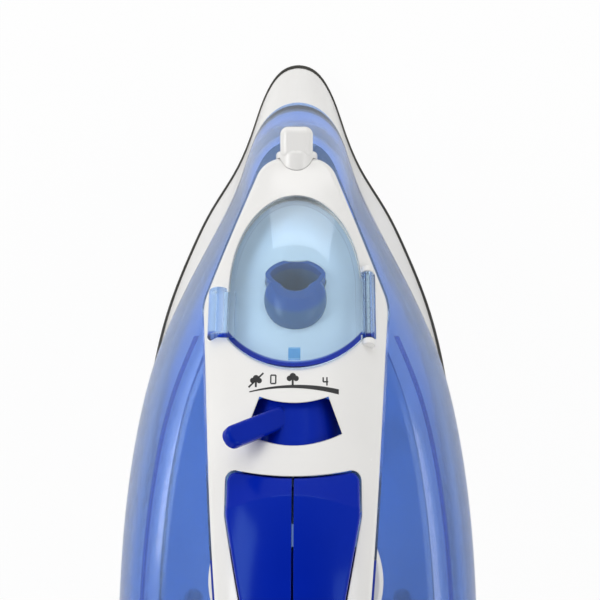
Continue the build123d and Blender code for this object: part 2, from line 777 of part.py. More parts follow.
def make_valve_stem():
    foot = RIM_Z + TANK_FLOOR + SCREW_GAP
    stem = upright(0, VALVE_PLACE, foot + VALVE_TIP, VALVE_TOP, VALVE_R)
    stem += Pos(0, y_at(VALVE_PLACE), foot + VALVE_TIP / 2) * Cone(VALVE_R / 4, VALVE_R, VALVE_TIP)
    head = VALVE_HEAD_R - VALVE_R + VALVE_HEAD
    return stem + upright(0, VALVE_PLACE, VALVE_TOP - head, VALVE_TOP, VALVE_HEAD_R)


def lid_face(grow=0.0, nose_grow=None):
    """Egg-shaped plan of the lid."""
    nose_grow = grow if nose_grow is None else nose_grow
    half = LID_HALF + grow
    reach = LID_SIDE_FRONT - LID_NOSE + nose_grow
    front = y_at(LID_SIDE_FRONT)
    rear = y_at(LID_SIDE_REAR)
    nose = EllipticalCenterArc((0, front), half, reach, start_angle=0, arc_size=180)
    left = Line((-half, front), (-half, rear))
    back = ThreePointArc((-half, rear), (0, y_at(LID_END + grow)), (half, rear))
    right = Line((half, rear), (half, front))
    return Face(Wire([*nose.edges(), *left.edges(), *back.edges(), *right.edges()]))


def lid_prism(grow=0.0, nose_grow=None):
    return extrude(Pos(0, 0, BLOCK_FLOOR) * lid_face(grow, nose_grow), amount=FAR / 2, dir=(0, 0, 1))


def hinge_line(crown):
    """Ends of the lid's hinge, along the slope of the cover."""
    ends = []
    for behind in (HINGE_FRONT, HINGE_REAR):
        z = height_on(crown, HINGE_X, behind) + HINGE_RISE
        ends.append(Vector(HINGE_X, y_at(behind), z))
    return ends


def rod(start, end, radius):
    along = end - start
    plane = Plane(origin=start, z_dir=along)
    return extrude(plane * Circle(radius), amount=along.length)


def hinge_knuckle(crown, trim, radius):
    """Round bar on the hinge line, shorter than it by a trim at each end."""
    start, end = hinge_line(crown)
    along = (end - start).normalized()
    return rod(start + along * trim, end - along * trim, radius)


def hinge_notch(grow=0.0):
    """Room in the cover for the lid's knuckle."""
    width = HINGE_X + HINGE_R + HINGE_GAP - LID_HALF + LID_GAP
    front = HINGE_FRONT + HINGE_EAR - grow
    rear = HINGE_REAR - HINGE_EAR + grow
    middle = LID_HALF - LID_GAP + width / 2
    return Pos(middle, (y_at(front) + y_at(rear)) / 2, FAR / 4) * Box(width, rear - front, FAR / 2)


def tab_bar(crown):
    """Round bar along the lid's left edge, for a finger to lift it by."""
    ends = []
    for behind in (LID_TAB_FRONT, LID_TAB_REAR):
        z = height_on(crown, -LID_TAB_X, behind) + LID_TAB_RISE
        ends.append(Vector(-LID_TAB_X, y_at(behind), z))
    return rod(*ends, LID_TAB_R)


def make_fill_lid(crown):
    top = lowered(crown, -LID_PROUD)
    lid = (lid_prism() & top) - lowered(crown, LID_RIM_DEPTH)
    lid -= lid_prism(-LID_RIM) & lowered(top, LID_WALL)
    reach = LID_TAB_X - LID_HALF + LID_RIM
    tab = Pos(-LID_TAB_X + reach / 2, (y_at(LID_TAB_FRONT) + y_at(LID_TAB_REAR)) / 2, FAR / 4)
    tab = tab * Box(reach, LID_TAB_REAR - LID_TAB_FRONT, FAR / 2) & lowered(top, -LID_TAB_HEIGHT)
    tab = tab + tab_bar(crown) - lowered(crown, -LID_GAP)
    leaf = hinge_notch(-HINGE_LEAF_TRIM) & top & lid_prism(HINGE_X - LID_HALF)
    leaf -= lowered(top, LID_WALL)
    width, length, height = LID_CATCH
    catch = between(LID_CATCH_PLACE - length / 2, LID_CATCH_PLACE + length / 2, 0, FAR, width / 2)
    catch = (catch & lowered(top, -height)) - lowered(top, LID_WALL)
    lid = lid + tab + leaf + catch + hinge_knuckle(crown, HINGE_EAR + HINGE_GAP, HINGE_R)
    return lid - hinge_knuckle(crown, 0, HINGE_PIN_R + RUNNING_GAP)


def make_hinge_pin(crown):
    return hinge_knuckle(crown, HINGE_GAP, HINGE_PIN_R)


def window_face():
    front_left = (-WINDOW_FRONT_HALF, y_at(WINDOW_FRONT))
    front_right = (WINDOW_FRONT_HALF, y_at(WINDOW_FRONT))
    rear_left = (-WINDOW_REAR_HALF, y_at(WINDOW_REAR))
    rear_right = (WINDOW_REAR_HALF, y_at(WINDOW_REAR))
    edges = [
        ThreePointArc(front_right, (0, y_at(WINDOW_FRONT_MID)), front_left),
        Line(front_left, rear_left),
        ThreePointArc(rear_left, (0, y_at(WINDOW_REAR_MID)), rear_right),
        Line(rear_right, front_right),
    ]
    return Face(Wire([edge for curve in edges for edge in curve.edges()]))


def button_face(grow=0.0, nose_grow=0.0):
    """Plan of both buttons together, with a front edge that sags in the middle."""
    half = BUTTON_HALF + grow
    front = y_at(BUTTON_FRONT - nose_grow)
    right = [
        (half, front), (half, y_at(BUTTON_WIDE)), (BUTTON_REAR_HALF + grow, y_at(BUTTON_REAR + grow)),
    ]
    left = [(-x, y) for x, y in reversed(right)]
    sag = ThreePointArc(left[-1], (0, front - BUTTON_SAG), right[0])
    face = make_face([*sag.edges(), *Polyline(*right, *left).edges()])
    corners = face.vertices().sort_by(Axis.Y)
    face = fillet(corners[:-2], BUTTON_REAR_R)
    return fillet(face.vertices().sort_by(Axis.Y)[-2:], BUTTON_FRONT_R)


def drum_plane(crown):
    """Frame of the steam lever: origin on its axis, z forwards and down along the slope."""
    middle = (WINDOW_FRONT_MID + WINDOW_REAR_MID) / 2
    slope = lever_slope(crown)
    top = Vector(0, y_at(middle), height_on(crown, 0, middle))
    outward = Vector(0, sin(slope), cos(slope))
    return Plane(origin=top - outward * DRUM_DEPTH, x_dir=(1, 0, 0), z_dir=(0, cos(slope), -sin(slope)))


def lever_slope(crown):
    rise = height_on(crown, 0, WINDOW_REAR_MID) - height_on(crown, 0, WINDOW_FRONT_MID)
    return atan(rise / (WINDOW_REAR_MID - WINDOW_FRONT_MID))


def spout_plane():
    """Frame of the spout's mouth, z down its bore."""
    behind, z = SPOUT_MOUTH
    lean = radians(SPOUT_LEAN)
    return Plane(origin=(0, y_at(behind), z), x_dir=(1, 0, 0), z_dir=(0, -sin(lean), -cos(lean)))


def spout_core(grow=0.0, start=0.0):
    """Leaning lens-shaped bar along the fill spout."""
    plane = spout_plane()
    half = SPOUT_WIDTH / 2 + grow
    upper = ThreePointArc((-half, 0), (0, SPOUT_ROOF + grow), (half, 0))
    lower = ThreePointArc((half, 0), (0, -SPOUT_LIP - grow), (-half, 0))
    face = Face(Wire([*upper.edges(), *lower.edges()]))
    return extrude(plane * Pos(0, 0, start) * face, amount=SPOUT_LENGTH - 2 * start, dir=plane.z_dir)


def spout_hood(crown, shrink):
    """Rounded roof over the spout, on the floor of the well and behind the spout's mouth."""
    floor = height_on(crown, 0, HOOD_PLACE) - WELL_DEPTH
    ahead = HOOD_PLACE - HOOD_SIZE[1]
    rise = height_on(crown, 0, HOOD_PLACE) - height_on(crown, 0, ahead)
    slope = degrees(atan(rise / HOOD_SIZE[1]))
    ball = scale(Sphere(1), by=tuple(size - shrink for size in HOOD_SIZE))
    hood = Pos(0, y_at(HOOD_PLACE), floor) * Rot(-slope, 0, 0) * ball
    outside = spout_plane() * Pos(0, 0, -FAR / 2) * Box(FAR, FAR, FAR)
    return hood - lowered(crown, WELL_DEPTH - SPOUT_GAP) - outside


def make_fill_spout(crown):
    spout = spout_core() + spout_hood(crown, 0.0)
    return spout - spout_hood(crown, SPOUT_WALL) - spout_core(-SPOUT_WALL, -PAST)


def make_fill_tray(crown):
    """White well under the lid, hung from the underside of the cover."""
    grow = LID_GAP + WELL_WALL
    outer = lid_prism(grow, LID_NOSE_GAP + WELL_WALL) & lowered(crown, COVER_WALL + FACE_GAP)
    outer -= lowered(crown, WELL_DEPTH + WELL_WALL)
    room = lid_prism(LID_GAP, LID_NOSE_GAP) - lowered(crown, WELL_DEPTH)
    tray = (outer - room) & tongue_prism(-COVER_WALL - FACE_GAP) & dry_floor(FACE_GAP)
    return tray - spout_core(SPOUT_GAP)


def cross_rod(behind, z, start, end, radius):
    """Round bar across the iron from one x to another."""
    return Pos((start + end) / 2, y_at(behind), z) * Rot(0, 90, 0) * Cylinder(radius, end - start)


def long_rod(x, z, front, rear, radius):
    """Round bar along the iron."""
    return Pos(x, y_at((front + rear) / 2), z) * Rot(90, 0, 0) * Cylinder(radius, rear - front)


def make_top_cover(crown):
    outer = tongue_prism() & crown
    crown_face = outer.faces().sort_by(SortBy.AREA)[-1]
    outer = fillet(crown_face.outer_wire().edges(), COVER_EDGE_R) & above_seam(crown)
    cover = outer - (tongue_prism(-COVER_WALL) & lowered(crown, COVER_WALL))
    under = lowered(crown, COVER_WALL / 2)
    for behind in GRIP_SCREWS:
        cover += upright(0, behind, GAP_TOP + REAR_WALL + FACE_GAP, FAR / 2, REAR_BOSS_R) & under
        cover -= upright(0, behind, 0, GAP_TOP + GRIP_SCREW_REACH, SCREW_R)
    for side in (-1, 1):
        low, high = sorted((side * PIVOT_BOSS_FROM, side * PIVOT_BOSS_TO))
        cover += cross_rod(BUTTON_PIVOT, BUTTON_PIVOT_Z, low, high, BUTTON_LUG_R) & under
    cover -= lid_prism(LID_GAP, LID_NOSE_GAP)
    cover -= hinge_notch()
    start, end = hinge_line(crown)
    along = (end - start).normalized()
    cover += rod(start, start + along * HINGE_EAR, HINGE_R)
    cover += rod(end - along * HINGE_EAR, end, HINGE_R)
    cover -= hinge_knuckle(crown, HINGE_EAR, HINGE_R + HINGE_GAP)
    cover -= hinge_knuckle(crown, HINGE_GAP, HINGE_PIN_R)
    cover -= extrude(window_face(), amount=FAR / 2, dir=(0, 0, 1))
    cover -= centred(drum_plane(crown), Circle(DRUM_R + DRUM_GAP), DRUM_LENGTH + 2 * DRUM_GAP, DRUM_AHEAD)
    cover -= button_prism(BUTTON_GAP, BUTTON_NOSE_GAP)
    cover -= cross_rod(BUTTON_PIVOT, BUTTON_PIVOT_Z, -PIVOT_PIN_HALF, PIVOT_PIN_HALF, BUTTON_PIN_R)
    cover -= long_rod(0, SPIGOT_Z, 0, SPIGOT_END, SPIGOT_R + SPOUT_GAP)
    return cover - lamp_prism(SPOUT_GAP)


def lamp_prism(grow=0.0):
    half, reach = LAMP_SIZE
    face = Pos(0, y_at(LAMP_PLACE), BLOCK_FLOOR) * Ellipse(half + grow, reach + grow)
    return extrude(face, amount=FAR / 2)


def make_pilot_lens(crown):
    return (lamp_prism() & lowered(crown, -LAMP_PROUD)) - lowered(crown, 2 * COVER_WALL)


def make_lower_handle(body):
    shell = body & between(NECK_SPLIT, REAR_SPLIT, DECK_Z + PAST, FAR, FAR / 2)
    room = tongue_prism(-REAR_WALL) - hand_gap(REAR_WALL)
    shell -= room
    for behind in GRIP_SCREWS:
        shell -= upright(0, behind, 0, FAR, SCREW_R + SCREW_GAP)
        shell -= upright(0, behind, 0, GAP_TOP + SCREW_SINK, SCREW_HEAD_R + SCREW_GAP)
    return shell


def make_handle_screws():
    seat = GAP_TOP + SCREW_SINK
    length = GRIP_SCREW_REACH - SCREW_SINK - SCREW_R
    return [Pos(0, y_at(behind), seat) * Rot(180, 0, 0) * screw(length) for behind in GRIP_SCREWS]


def sector(radius, low, high):
    """Slice of a disc between two angles from straight up, clockwise, on the lever's frame."""
    def at(angle):
        return (radius * sin(radians(angle)), -radius * cos(radians(angle)))
    arc = ThreePointArc(at(low), at((low + high) / 2), at(high))
    sides = Polyline(at(high), (0, 0), at(low))
    return Face(Wire([*arc.edges(), *sides.edges()]))


def centred(plane, face, length, shift=0.0):
    """Face on the lever's frame, thickened evenly about a point of its axis."""
    return extrude(plane * Pos(0, 0, shift - length / 2) * face, amount=length, dir=plane.z_dir)


def make_steam_lever(crown):
    plane = drum_plane(crown)
    lever = centred(plane, sector(DRUM_R, DRUM_FROM, DRUM_TO), DRUM_LENGTH, DRUM_AHEAD)
    hollow = sector(DRUM_R - DRUM_WALL, DRUM_FROM - DRUM_OPENING, DRUM_TO + DRUM_OPENING)
    lever -= centred(plane, hollow, DRUM_LENGTH - 2 * DRUM_WEB, DRUM_AHEAD)
    lever += centred(plane, Circle(DRUM_HUB_R), DRUM_LENGTH - DRUM_WEB, DRUM_AHEAD)
    lever += centred(plane, Pos(0, CAM_THROW) * Circle(CAM_R), CAM_LENGTH)
    lever += lever_finger(plane)
    return lever - centred(plane, Circle(LEVER_PIN_R + RUNNING_GAP), FAR / 4)


def lever_finger(plane):
    """Straight finger with a round end that leans to the left and sweeps backwards."""
    root = radians(FINGER_ROOT)
    lean = radians(FINGER_LEAN)
    start = Vector(FINGER_FOOT_R * sin(root), -FINGER_FOOT_R * cos(root), FINGER_AHEAD)
    foot = plane.from_local_coords(start)
    across = plane.from_local_coords(Vector(sin(lean), -cos(lean), 0)) - plane.origin
    flat = Plane(origin=foot, x_dir=across, z_dir=across.cross(plane.z_dir * -1))
    tip = Vector(FINGER_LENGTH, FINGER_AHEAD + FINGER_SWEEP)
    side = Vector(-tip.Y, tip.X).normalized() * (FINGER_WIDTH / 2)
    corners = [side * -1, tip - side, tip + side, side]
    outline = FilletPolyline(*corners, radius=[0, FINGER_TIP_R, FINGER_TIP_R, 0], close=True)
    face = make_face(outline)
    blade = extrude(flat * face, amount=FINGER_THICK / 2, both=True)
    reach = FINGER_LENGTH * FINGER_TIP_SHARE
    outer = [edge for edge in blade.edges() if (edge.center() - foot).dot(across) > reach]
    return fillet(outer, FINGER_EDGE_R)


def make_lever_pin(crown):
    reach = DRUM_LENGTH + 2 * (BRACKET_GAP + BRACKET_CHEEK)
    return centred(drum_plane(crown), Circle(LEVER_PIN_R), reach, DRUM_AHEAD)


def make_bracket(crown):
    """Carries the lever between two cheeks, and the pumps on a shelf behind it."""
    plane = drum_plane(crown)
    shift = (DRUM_LENGTH + BRACKET_CHEEK) / 2 + BRACKET_GAP
    front, rear = BRACKET_FRONT_LEG, BRACKET_REAR_LEG
    bracket = between(front[0], rear[1], DECK_Z, DECK_Z + BRACKET_FOOT, BRACKET_FOOT_HALF)
    for place, way in ((front, 1), (rear, -1)):
        offset_along = DRUM_AHEAD + way * shift
        centre = plane.from_local_coords(Vector(0, 0, offset_along))
        bracket += centred(plane, Circle(BRACKET_BOSS_R), BRACKET_CHEEK, offset_along)
        bracket += between(place[0], place[1], DECK_Z, centre.Z, BRACKET_LEG_HALF)
    shelf = between(rear[0], PUMP_PLACE + SHELF_REACH, PUMP_LOW - BRACKET_FOOT, PUMP_LOW, PUMP_X + PUMP_R)
    bracket += shelf - hand_gap(TANK_WALL + FACE_GAP)
    for side in (-1, 1):
        bracket -= upright(side * PUMP_X, PUMP_PLACE, 0, PUMP_LOW, TUBE_R + TUBE_HOLE_GAP)
    bracket -= upright(0, VALVE_PLACE, 0, DECK_Z + BRACKET_FOOT, VALVE_R + VALVE_BORE_GAP)
    return bracket - centred(plane, Circle(LEVER_PIN_R), FAR / 4)


def make_pump_body(side):
    pump = upright(side * PUMP_X, PUMP_PLACE, PUMP_LOW, PUMP_HIGH, PUMP_R)
    pump -= upright(side * PUMP_X, PUMP_PLACE, PUMP_LOW + PUMP_BASE, PUMP_HIGH - PUMP_CAP, PUMP_BORE_R)
    pump -= upright(side * PUMP_X, PUMP_PLACE, PUMP_LOW, PUMP_LOW + PUMP_BASE, TUBE_BORE_R)
    return pump - upright(side * PUMP_X, PUMP_PLACE, PUMP_LOW + PUMP_BASE, PUMP_HIGH, ROD_R + PISTON_GAP)


def make_pump_piston(side):
    top = PISTON_LOW + PISTON_HEAD
    head = upright(side * PUMP_X, PUMP_PLACE, PISTON_LOW, top, PUMP_BORE_R - PISTON_GAP)
    return head + upright(side * PUMP_X, PUMP_PLACE, PISTON_LOW, BUTTON_FLOOR - ROD_GAP, ROD_R)


def make_pump_spring(side):
    low = PUMP_LOW + PUMP_BASE + SPRING_GAP
    high = PISTON_LOW - SPRING_GAP
    ring = upright(side * PUMP_X, PUMP_PLACE, low, high, SPRING_R)
    return ring - upright(side * PUMP_X, PUMP_PLACE, low, high, SPRING_R - SPRING_WIRE)


def make_intake_tube(side):
    x = side * PUMP_X
    points = [
        (x, PUMP_PLACE, PUMP_LOW), (x, PUMP_PLACE, INTAKE_BEND), (x, INTAKE_PLACE, INTAKE_TURN),
        (x, INTAKE_PLACE, INTAKE_LOW),
    ]
    return tube(points, TUBE_R, TUBE_BORE_R, TUBE_BEND_R)


def outlet_start(side):
    return [
        (side * (PUMP_X + PUMP_R), PUMP_PLACE, OUTLET_Z),
        (side * OUTLET_X, PUMP_PLACE, OUTLET_Z),
        (side * OUTLET_X, OUTLET_PLACE, OUTLET_BEND),
    ]


def make_burst_hose():
    points = outlet_start(1) + [(OUTLET_X, OUTLET_PLACE, CHAMBER_TOP + CHAMBER_COVER)]
    return tube(points, TUBE_R, TUBE_BORE_R, TUBE_BEND_R)


def make_spray_hose():
    points = outlet_start(-1) + list(SPRAY_HOSE_RUN)
    points += [(0, SPIGOT_END, SPRAY_HOSE_LOW), (0, SPIGOT_END, SPIGOT_Z - SPIGOT_DROP)]
    return tube(points, SPRAY_HOSE_R, SPRAY_HOSE_BORE_R, TUBE_BEND_R)


def button_prism(grow=0.0, nose_grow=0.0):
    return extrude(Pos(0, 0, BLOCK_FLOOR) * button_face(grow, nose_grow), amount=FAR / 2)


def button_block(crown):
    """Both push buttons as one block, with a front face that leans back and soft edges."""
    block = button_prism() & lowered(crown, -BUTTON_PROUD)
    block = fillet(roof_of(block).outer_wire().edges(), BUTTON_EDGE_R) - ahead_of_buttons(crown)
    return fillet(roof_of(block).edges().sort_by(Axis.Y)[-1], BUTTON_EDGE_R)


def roof_of(block):
    """Face of a block that looks up."""
    return [face for face in block.faces() if face.normal_at().Z > FACING_UP][0]


def ahead_of_buttons(crown):
    """Room ahead of the buttons' front face, which leans back most at its sides."""
    half = BUTTON_HALF + BUTTON_GAP
    ahead = y_at(BUTTON_FRONT - FAR / 4)
    low = height_on(crown, BUTTON_HALF, BUTTON_FRONT)
    high = height_on(crown, 0, BUTTON_FRONT + BUTTON_TOP_MID) + BUTTON_PROUD
    levels = (
        (low, BUTTON_FRONT - BUTTON_FRONT_BOW, BUTTON_FRONT),
        (high, BUTTON_FRONT + BUTTON_TOP_MID, BUTTON_FRONT + BUTTON_TOP_SIDE),
    )
    faces = []
    for z, middle, side in levels:
        bow = ThreePointArc((-half, y_at(side), z), (0, y_at(middle), z), (half, y_at(side), z))
        frame = Polyline((half, y_at(side), z), (half, ahead, z), (-half, ahead, z), (-half, y_at(side), z))
        faces.append(Face(Wire([*bow.edges(), *frame.edges()])))
    return loft(faces, ruled=True) + extrude(faces[-1], amount=FAR / 4, dir=(0, 0, 1))


def one_side(side, inset):
    """Block of everything on one side of the mid-plane, from an inset outwards."""
    return Pos(side * (FAR / 2 + inset), 0, 0) * Box(FAR, FAR, FAR * 2)


def cap_room(side):
    """Room for the top of a pump under a button that is pressed all the way."""
    drop = (BUTTON_PIVOT - PUMP_PLACE + PUMP_R) * sin(radians(PRESS_ANGLE))
    front = PUMP_PLACE - PUMP_R - CAP_ROOM - CAP_SWEEP
    room = between(front, PUMP_PLACE, PUMP_LOW, PUMP_HIGH + drop + CAP_ROOM, PUMP_X + PUMP_R + CAP_ROOM)
    return room & one_side(side, BUTTON_SPLIT / 2 + BUTTON_WALL)


def make_button(crown, block, side):
    top = lowered(crown, -BUTTON_PROUD)
    half = block & one_side(side, BUTTON_SPLIT / 2)
    button = half - lowered(crown, BUTTON_DEPTH)
    room = button_prism(-BUTTON_WALL, -BUTTON_WALL) & lowered(top, BUTTON_WALL)
    room &= behind_plane(BUTTON_FRONT + BUTTON_FRONT_WALL)
    button -= room & one_side(side, BUTTON_SPLIT / 2 + BUTTON_WALL)
    button -= cap_room(side)
    inside = lowered(top, BUTTON_WALL / 2) & one_side(side, BUTTON_SPLIT / 2)
    button += upright(side * PUMP_X, PUMP_PLACE, BUTTON_FLOOR, FAR / 2, ROD_R + BUTTON_WALL / 2) & inside
    low, high = sorted((side * BUTTON_SPLIT / 2, side * PIVOT_LUG_TO))
    front, rear = BUTTON_PIVOT - BUTTON_LUG_R, BUTTON_PIVOT + BUTTON_LUG_R
    lug = between(front, rear, BUTTON_PIVOT_Z, FAR / 2, PIVOT_LUG_TO) & inside
    button += lug + cross_rod(BUTTON_PIVOT, BUTTON_PIVOT_Z, low, high, BUTTON_LUG_R)
    hole = BUTTON_PIN_R + RUNNING_GAP
    return button - cross_rod(BUTTON_PIVOT, BUTTON_PIVOT_Z, -PIVOT_PIN_HALF, PIVOT_PIN_HALF, hole)


def make_button_pin():
    return cross_rod(BUTTON_PIVOT, BUTTON_PIVOT_Z, -PIVOT_PIN_HALF, PIVOT_PIN_HALF, BUTTON_PIN_R)


def make_spray_nozzle(body, crown):
    behind, z = NOZZLE_CENTRE
    block = fillet(Box(NOZZLE_WIDTH, NOZZLE_LENGTH, NOZZLE_HEIGHT).edges(), NOZZLE_R)
    nozzle = Pos(0, y_at(behind), z) * Rot(NOZZLE_TILT, 0, 0) * block
    collar = long_rod(0, COLLAR_Z, COLLAR_FRONT, COLLAR_REAR, COLLAR_R)
    nozzle += fillet(collar.edges().sort_by(Axis.Y)[-1], COLLAR_EDGE_R)
    nozzle -= tongue_prism() & crown
    nozzle -= body
    drop = (0, SPIGOT_END, SPIGOT_Z - SPIGOT_DROP)
    nozzle += tube([(0, behind, SPIGOT_Z), (0, SPIGOT_END, SPIGOT_Z), drop], SPIGOT_R, 0, SPIGOT_BEND_R)
    return nozzle - nozzle_insert(TIP_R, 0.0)


def nozzle_insert(radius, proud):
    """Bar down the nozzle's own axis, from its front face inwards."""
    behind, z = NOZZLE_CENTRE
    reach = NOZZLE_LENGTH / 2
    bar = Pos(0, reach + proud - (TIP_LENGTH + proud) / 2, 0) * Rot(90, 0, 0)
    return Pos(0, y_at(behind), z) * Rot(NOZZLE_TILT, 0, 0) * bar * Cylinder(radius, TIP_LENGTH + proud)


def make_nozzle_tip():
    return nozzle_insert(TIP_R, -TIP_SINK) - nozzle_insert(TIP_BORE_R, -TIP_SINK)


def make_temperature_dial():
    high = DIAL_LOW + DIAL_HEIGHT
    dial = upright(0, DIAL_PLACE, DIAL_LOW, high, DIAL_R)
    dial = fillet(dial.edges().sort_by(Axis.Z)[-1], DIAL_EDGE_R)
    dial -= upright(0, DIAL_PLACE, DIAL_LOW, high - DIAL_WALL, DIAL_R - DIAL_WALL)
    dial += upright(0, DIAL_PLACE, DIAL_LOW, high - DIAL_WALL, DIAL_HUB_R)
    return dial - upright(0, DIAL_PLACE, DIAL_LOW, high - DIAL_WALL, SHAFT_R)


def make_dial_shaft():
    low = THERMO_TOP + THERMO_PIN + SHAFT_GAP
    return upright(0, DIAL_PLACE, low, DIAL_LOW + DIAL_HEIGHT - DIAL_WALL, SHAFT_R)


def make_thermostat():
    stack = upright(0, DIAL_PLACE, SOLE_BASE, THERMO_TOP, THERMO_R)
    stack += upright(0, DIAL_PLACE, THERMO_TOP, THERMO_TOP + THERMO_PIN, THERMO_PIN_R)
    length, width, thick = THERMO_BLADE
    for level in THERMO_BLADE_LEVELS:
        z = SOLE_BASE + level * (THERMO_TOP - SOLE_BASE)
        stack += Pos(0, y_at(DIAL_PLACE + length / 4), z) * Box(width, length, thick)
    return stack


def make_thermal_fuse():
    x, behind = FUSE_PLACE
    return long_rod(x, SOLE_BASE + FUSE_R, behind - FUSE_LENGTH / 2, behind + FUSE_LENGTH / 2, FUSE_R)


def make_rear_housing(body):
    shell = (body & behind_plane(REAR_SPLIT)) - heel_slab(-HEEL_COVER, HEEL_TOP)
    post = tongue_prism(NECK_PROUD - REAR_WALL) - hand_gap(REAR_WALL)
    room = (body_loft(REAR_WALL) + post) & behind_plane(REAR_SPLIT + REAR_WALL)
    shell -= room
    boss = long_rod(0, REAR_SCREW_Z, REAR_SPLIT + REAR_WALL / 2, OVERALL_LENGTH, REAR_BOSS_R)
    shell += boss - heel_block(-HEEL_COVER)
    shell -= long_rod(0, REAR_SCREW_Z, REAR_SPLIT + REAR_WALL, OVERALL_LENGTH, SCREW_R)
    return shell - long_rod(0, BUSH_Z, TONGUE_END - 2 * BUSH_LENGTH, OVERALL_LENGTH, BUSH_BODY_R)


def heel_at(z):
    """Place of the heel's plane at a height."""
    return HEEL_FOOT + z * tan(radians(HEEL_TILT))


def make_rear_cover(body):
    cover = body & heel_slab(FACE_GAP - HEEL_COVER, HEEL_TOP - FACE_GAP)
    seat = heel_at(REAR_SCREW_Z) - HEEL_SINK
    cover -= long_rod(0, REAR_SCREW_Z, REAR_SPLIT, OVERALL_LENGTH, SCREW_R + SCREW_GAP)
    return cover - long_rod(0, REAR_SCREW_Z, seat, OVERALL_LENGTH, SCREW_HEAD_R + SCREW_GAP)


def make_rear_cover_screw():
    seat = heel_at(REAR_SCREW_Z) - HEEL_SINK
    length = seat - REAR_SPLIT - REAR_WALL - SCREW_R
    return Pos(0, y_at(seat), REAR_SCREW_Z) * Rot(90, 0, 0) * screw(length)


def make_cord_bush():
    bush = long_rod(0, BUSH_Z, OVERALL_LENGTH - BUSH_LENGTH, TONGUE_END + NECK_PROUD, BUSH_BODY_R)
    bush += long_rod(0, BUSH_Z, TONGUE_END + NECK_PROUD, OVERALL_LENGTH, BUSH_FLANGE_R)
    return bush - long_rod(0, BUSH_Z, 0, FAR, BUSH_BORE_R)


def make_terminal_block():
    width, depth, height = TERMINAL
    front = REAR_SPLIT + REAR_WALL
    block = between(front, front + depth, TERMINAL_Z - height / 2, TERMINAL_Z + height / 2, width / 2)
    for place in (-1, 0, 1):
        block -= long_rod(place * width / 3, TERMINAL_Z, front + depth / 2, FAR, SCREW_HEAD_R)
    return block


if __name__ == "__main__":
    os.makedirs("parts", exist_ok=True)
    crown = crown_block()
    body = casing(crown)
    block = button_block(crown)
    makers = {
        "soleplate": make_soleplate,
        "heating_element": make_heating_element,
        "steam_chamber_cover": make_chamber_cover,
        "chamber_screws": lambda: Compound(make_chamber_screws()),
        "skirt": make_skirt,
        "sole_screws": lambda: Compound(make_sole_screws()),
        "tank_gasket": make_gasket,
        "tank_shell": lambda: make_tank_shell(body),
        "tank_floor": make_tank_floor,
        "valve_seat": make_valve_seat,
        "valve_stem": make_valve_stem,
        "fill_lid": lambda: make_fill_lid(crown),
        "lid_hinge_pin": lambda: make_hinge_pin(crown),
        "fill_tray": lambda: make_fill_tray(crown),
        "fill_spout": lambda: make_fill_spout(crown),
        "top_cover": lambda: make_top_cover(crown),
        "pilot_lens": lambda: make_pilot_lens(crown),
        "lower_handle": lambda: make_lower_handle(body),
        "handle_screws": lambda: Compound(make_handle_screws()),
        "steam_lever": lambda: make_steam_lever(crown),
        "lever_pin": lambda: make_lever_pin(crown),
        "mechanism_bracket": lambda: make_bracket(crown),
        "spray_button": lambda: make_button(crown, block, -1),
        "steam_burst_button": lambda: make_button(crown, block, 1),
        "button_pin": make_button_pin,
        "spray_nozzle": lambda: make_spray_nozzle(body, crown),
        "nozzle_tip": make_nozzle_tip,
        "burst_hose": make_burst_hose,
        "spray_hose": make_spray_hose,
        "temperature_dial": make_temperature_dial,
        "dial_shaft": make_dial_shaft,
        "thermostat": make_thermostat,
        "thermal_fuse": make_thermal_fuse,
        "rear_housing": lambda: make_rear_housing(body),
        "rear_cover": lambda: make_rear_cover(body),
        "rear_cover_screw": make_rear_cover_screw,
        "cord_bush": make_cord_bush,
        "terminal_block": make_terminal_block,
    }
    for name, side in (("spray", -1), ("burst", 1)):
        makers[f"{name}_pump_body"] = lambda side=side: make_pump_body(side)
        makers[f"{name}_pump_piston"] = lambda side=side: make_pump_piston(side)
        makers[f"{name}_pump_spring"] = lambda side=side: make_pump_spring(side)
        makers[f"{name}_intake_tube"] = lambda side=side: make_intake_tube(side)
    for name, maker in makers.items():
        export_step(maker(), f"parts/{name}.step")
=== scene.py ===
import json
from math import atan, cos, pi, radians, sin

import bmesh
import bpy
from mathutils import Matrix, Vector
from mathutils.bvhtree import BVHTree

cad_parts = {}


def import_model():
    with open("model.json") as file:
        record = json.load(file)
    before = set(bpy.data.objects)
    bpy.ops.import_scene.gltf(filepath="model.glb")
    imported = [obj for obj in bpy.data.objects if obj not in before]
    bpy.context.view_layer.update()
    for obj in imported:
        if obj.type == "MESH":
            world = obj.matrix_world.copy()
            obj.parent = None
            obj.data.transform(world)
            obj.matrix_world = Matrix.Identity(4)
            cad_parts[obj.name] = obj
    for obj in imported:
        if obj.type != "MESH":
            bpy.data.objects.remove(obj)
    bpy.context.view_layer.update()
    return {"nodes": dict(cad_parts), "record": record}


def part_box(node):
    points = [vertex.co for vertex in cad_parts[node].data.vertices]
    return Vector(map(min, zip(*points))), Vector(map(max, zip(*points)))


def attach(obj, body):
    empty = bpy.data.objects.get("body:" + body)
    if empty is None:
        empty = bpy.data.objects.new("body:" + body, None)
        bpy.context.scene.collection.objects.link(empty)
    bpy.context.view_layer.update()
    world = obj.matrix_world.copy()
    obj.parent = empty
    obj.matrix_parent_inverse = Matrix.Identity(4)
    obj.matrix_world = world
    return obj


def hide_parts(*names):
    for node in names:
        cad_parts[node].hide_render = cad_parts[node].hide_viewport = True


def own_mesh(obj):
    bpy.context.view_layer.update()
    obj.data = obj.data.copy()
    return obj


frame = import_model()
scene = bpy.context.scene
MM = 0.001
LENGTH = 250.0


def at(x, behind, z):
    """Point in metres from millimetres, with its place behind the tip of the soleplate."""
    return Vector((x * MM, (LENGTH / 2 - behind) * MM, z * MM))


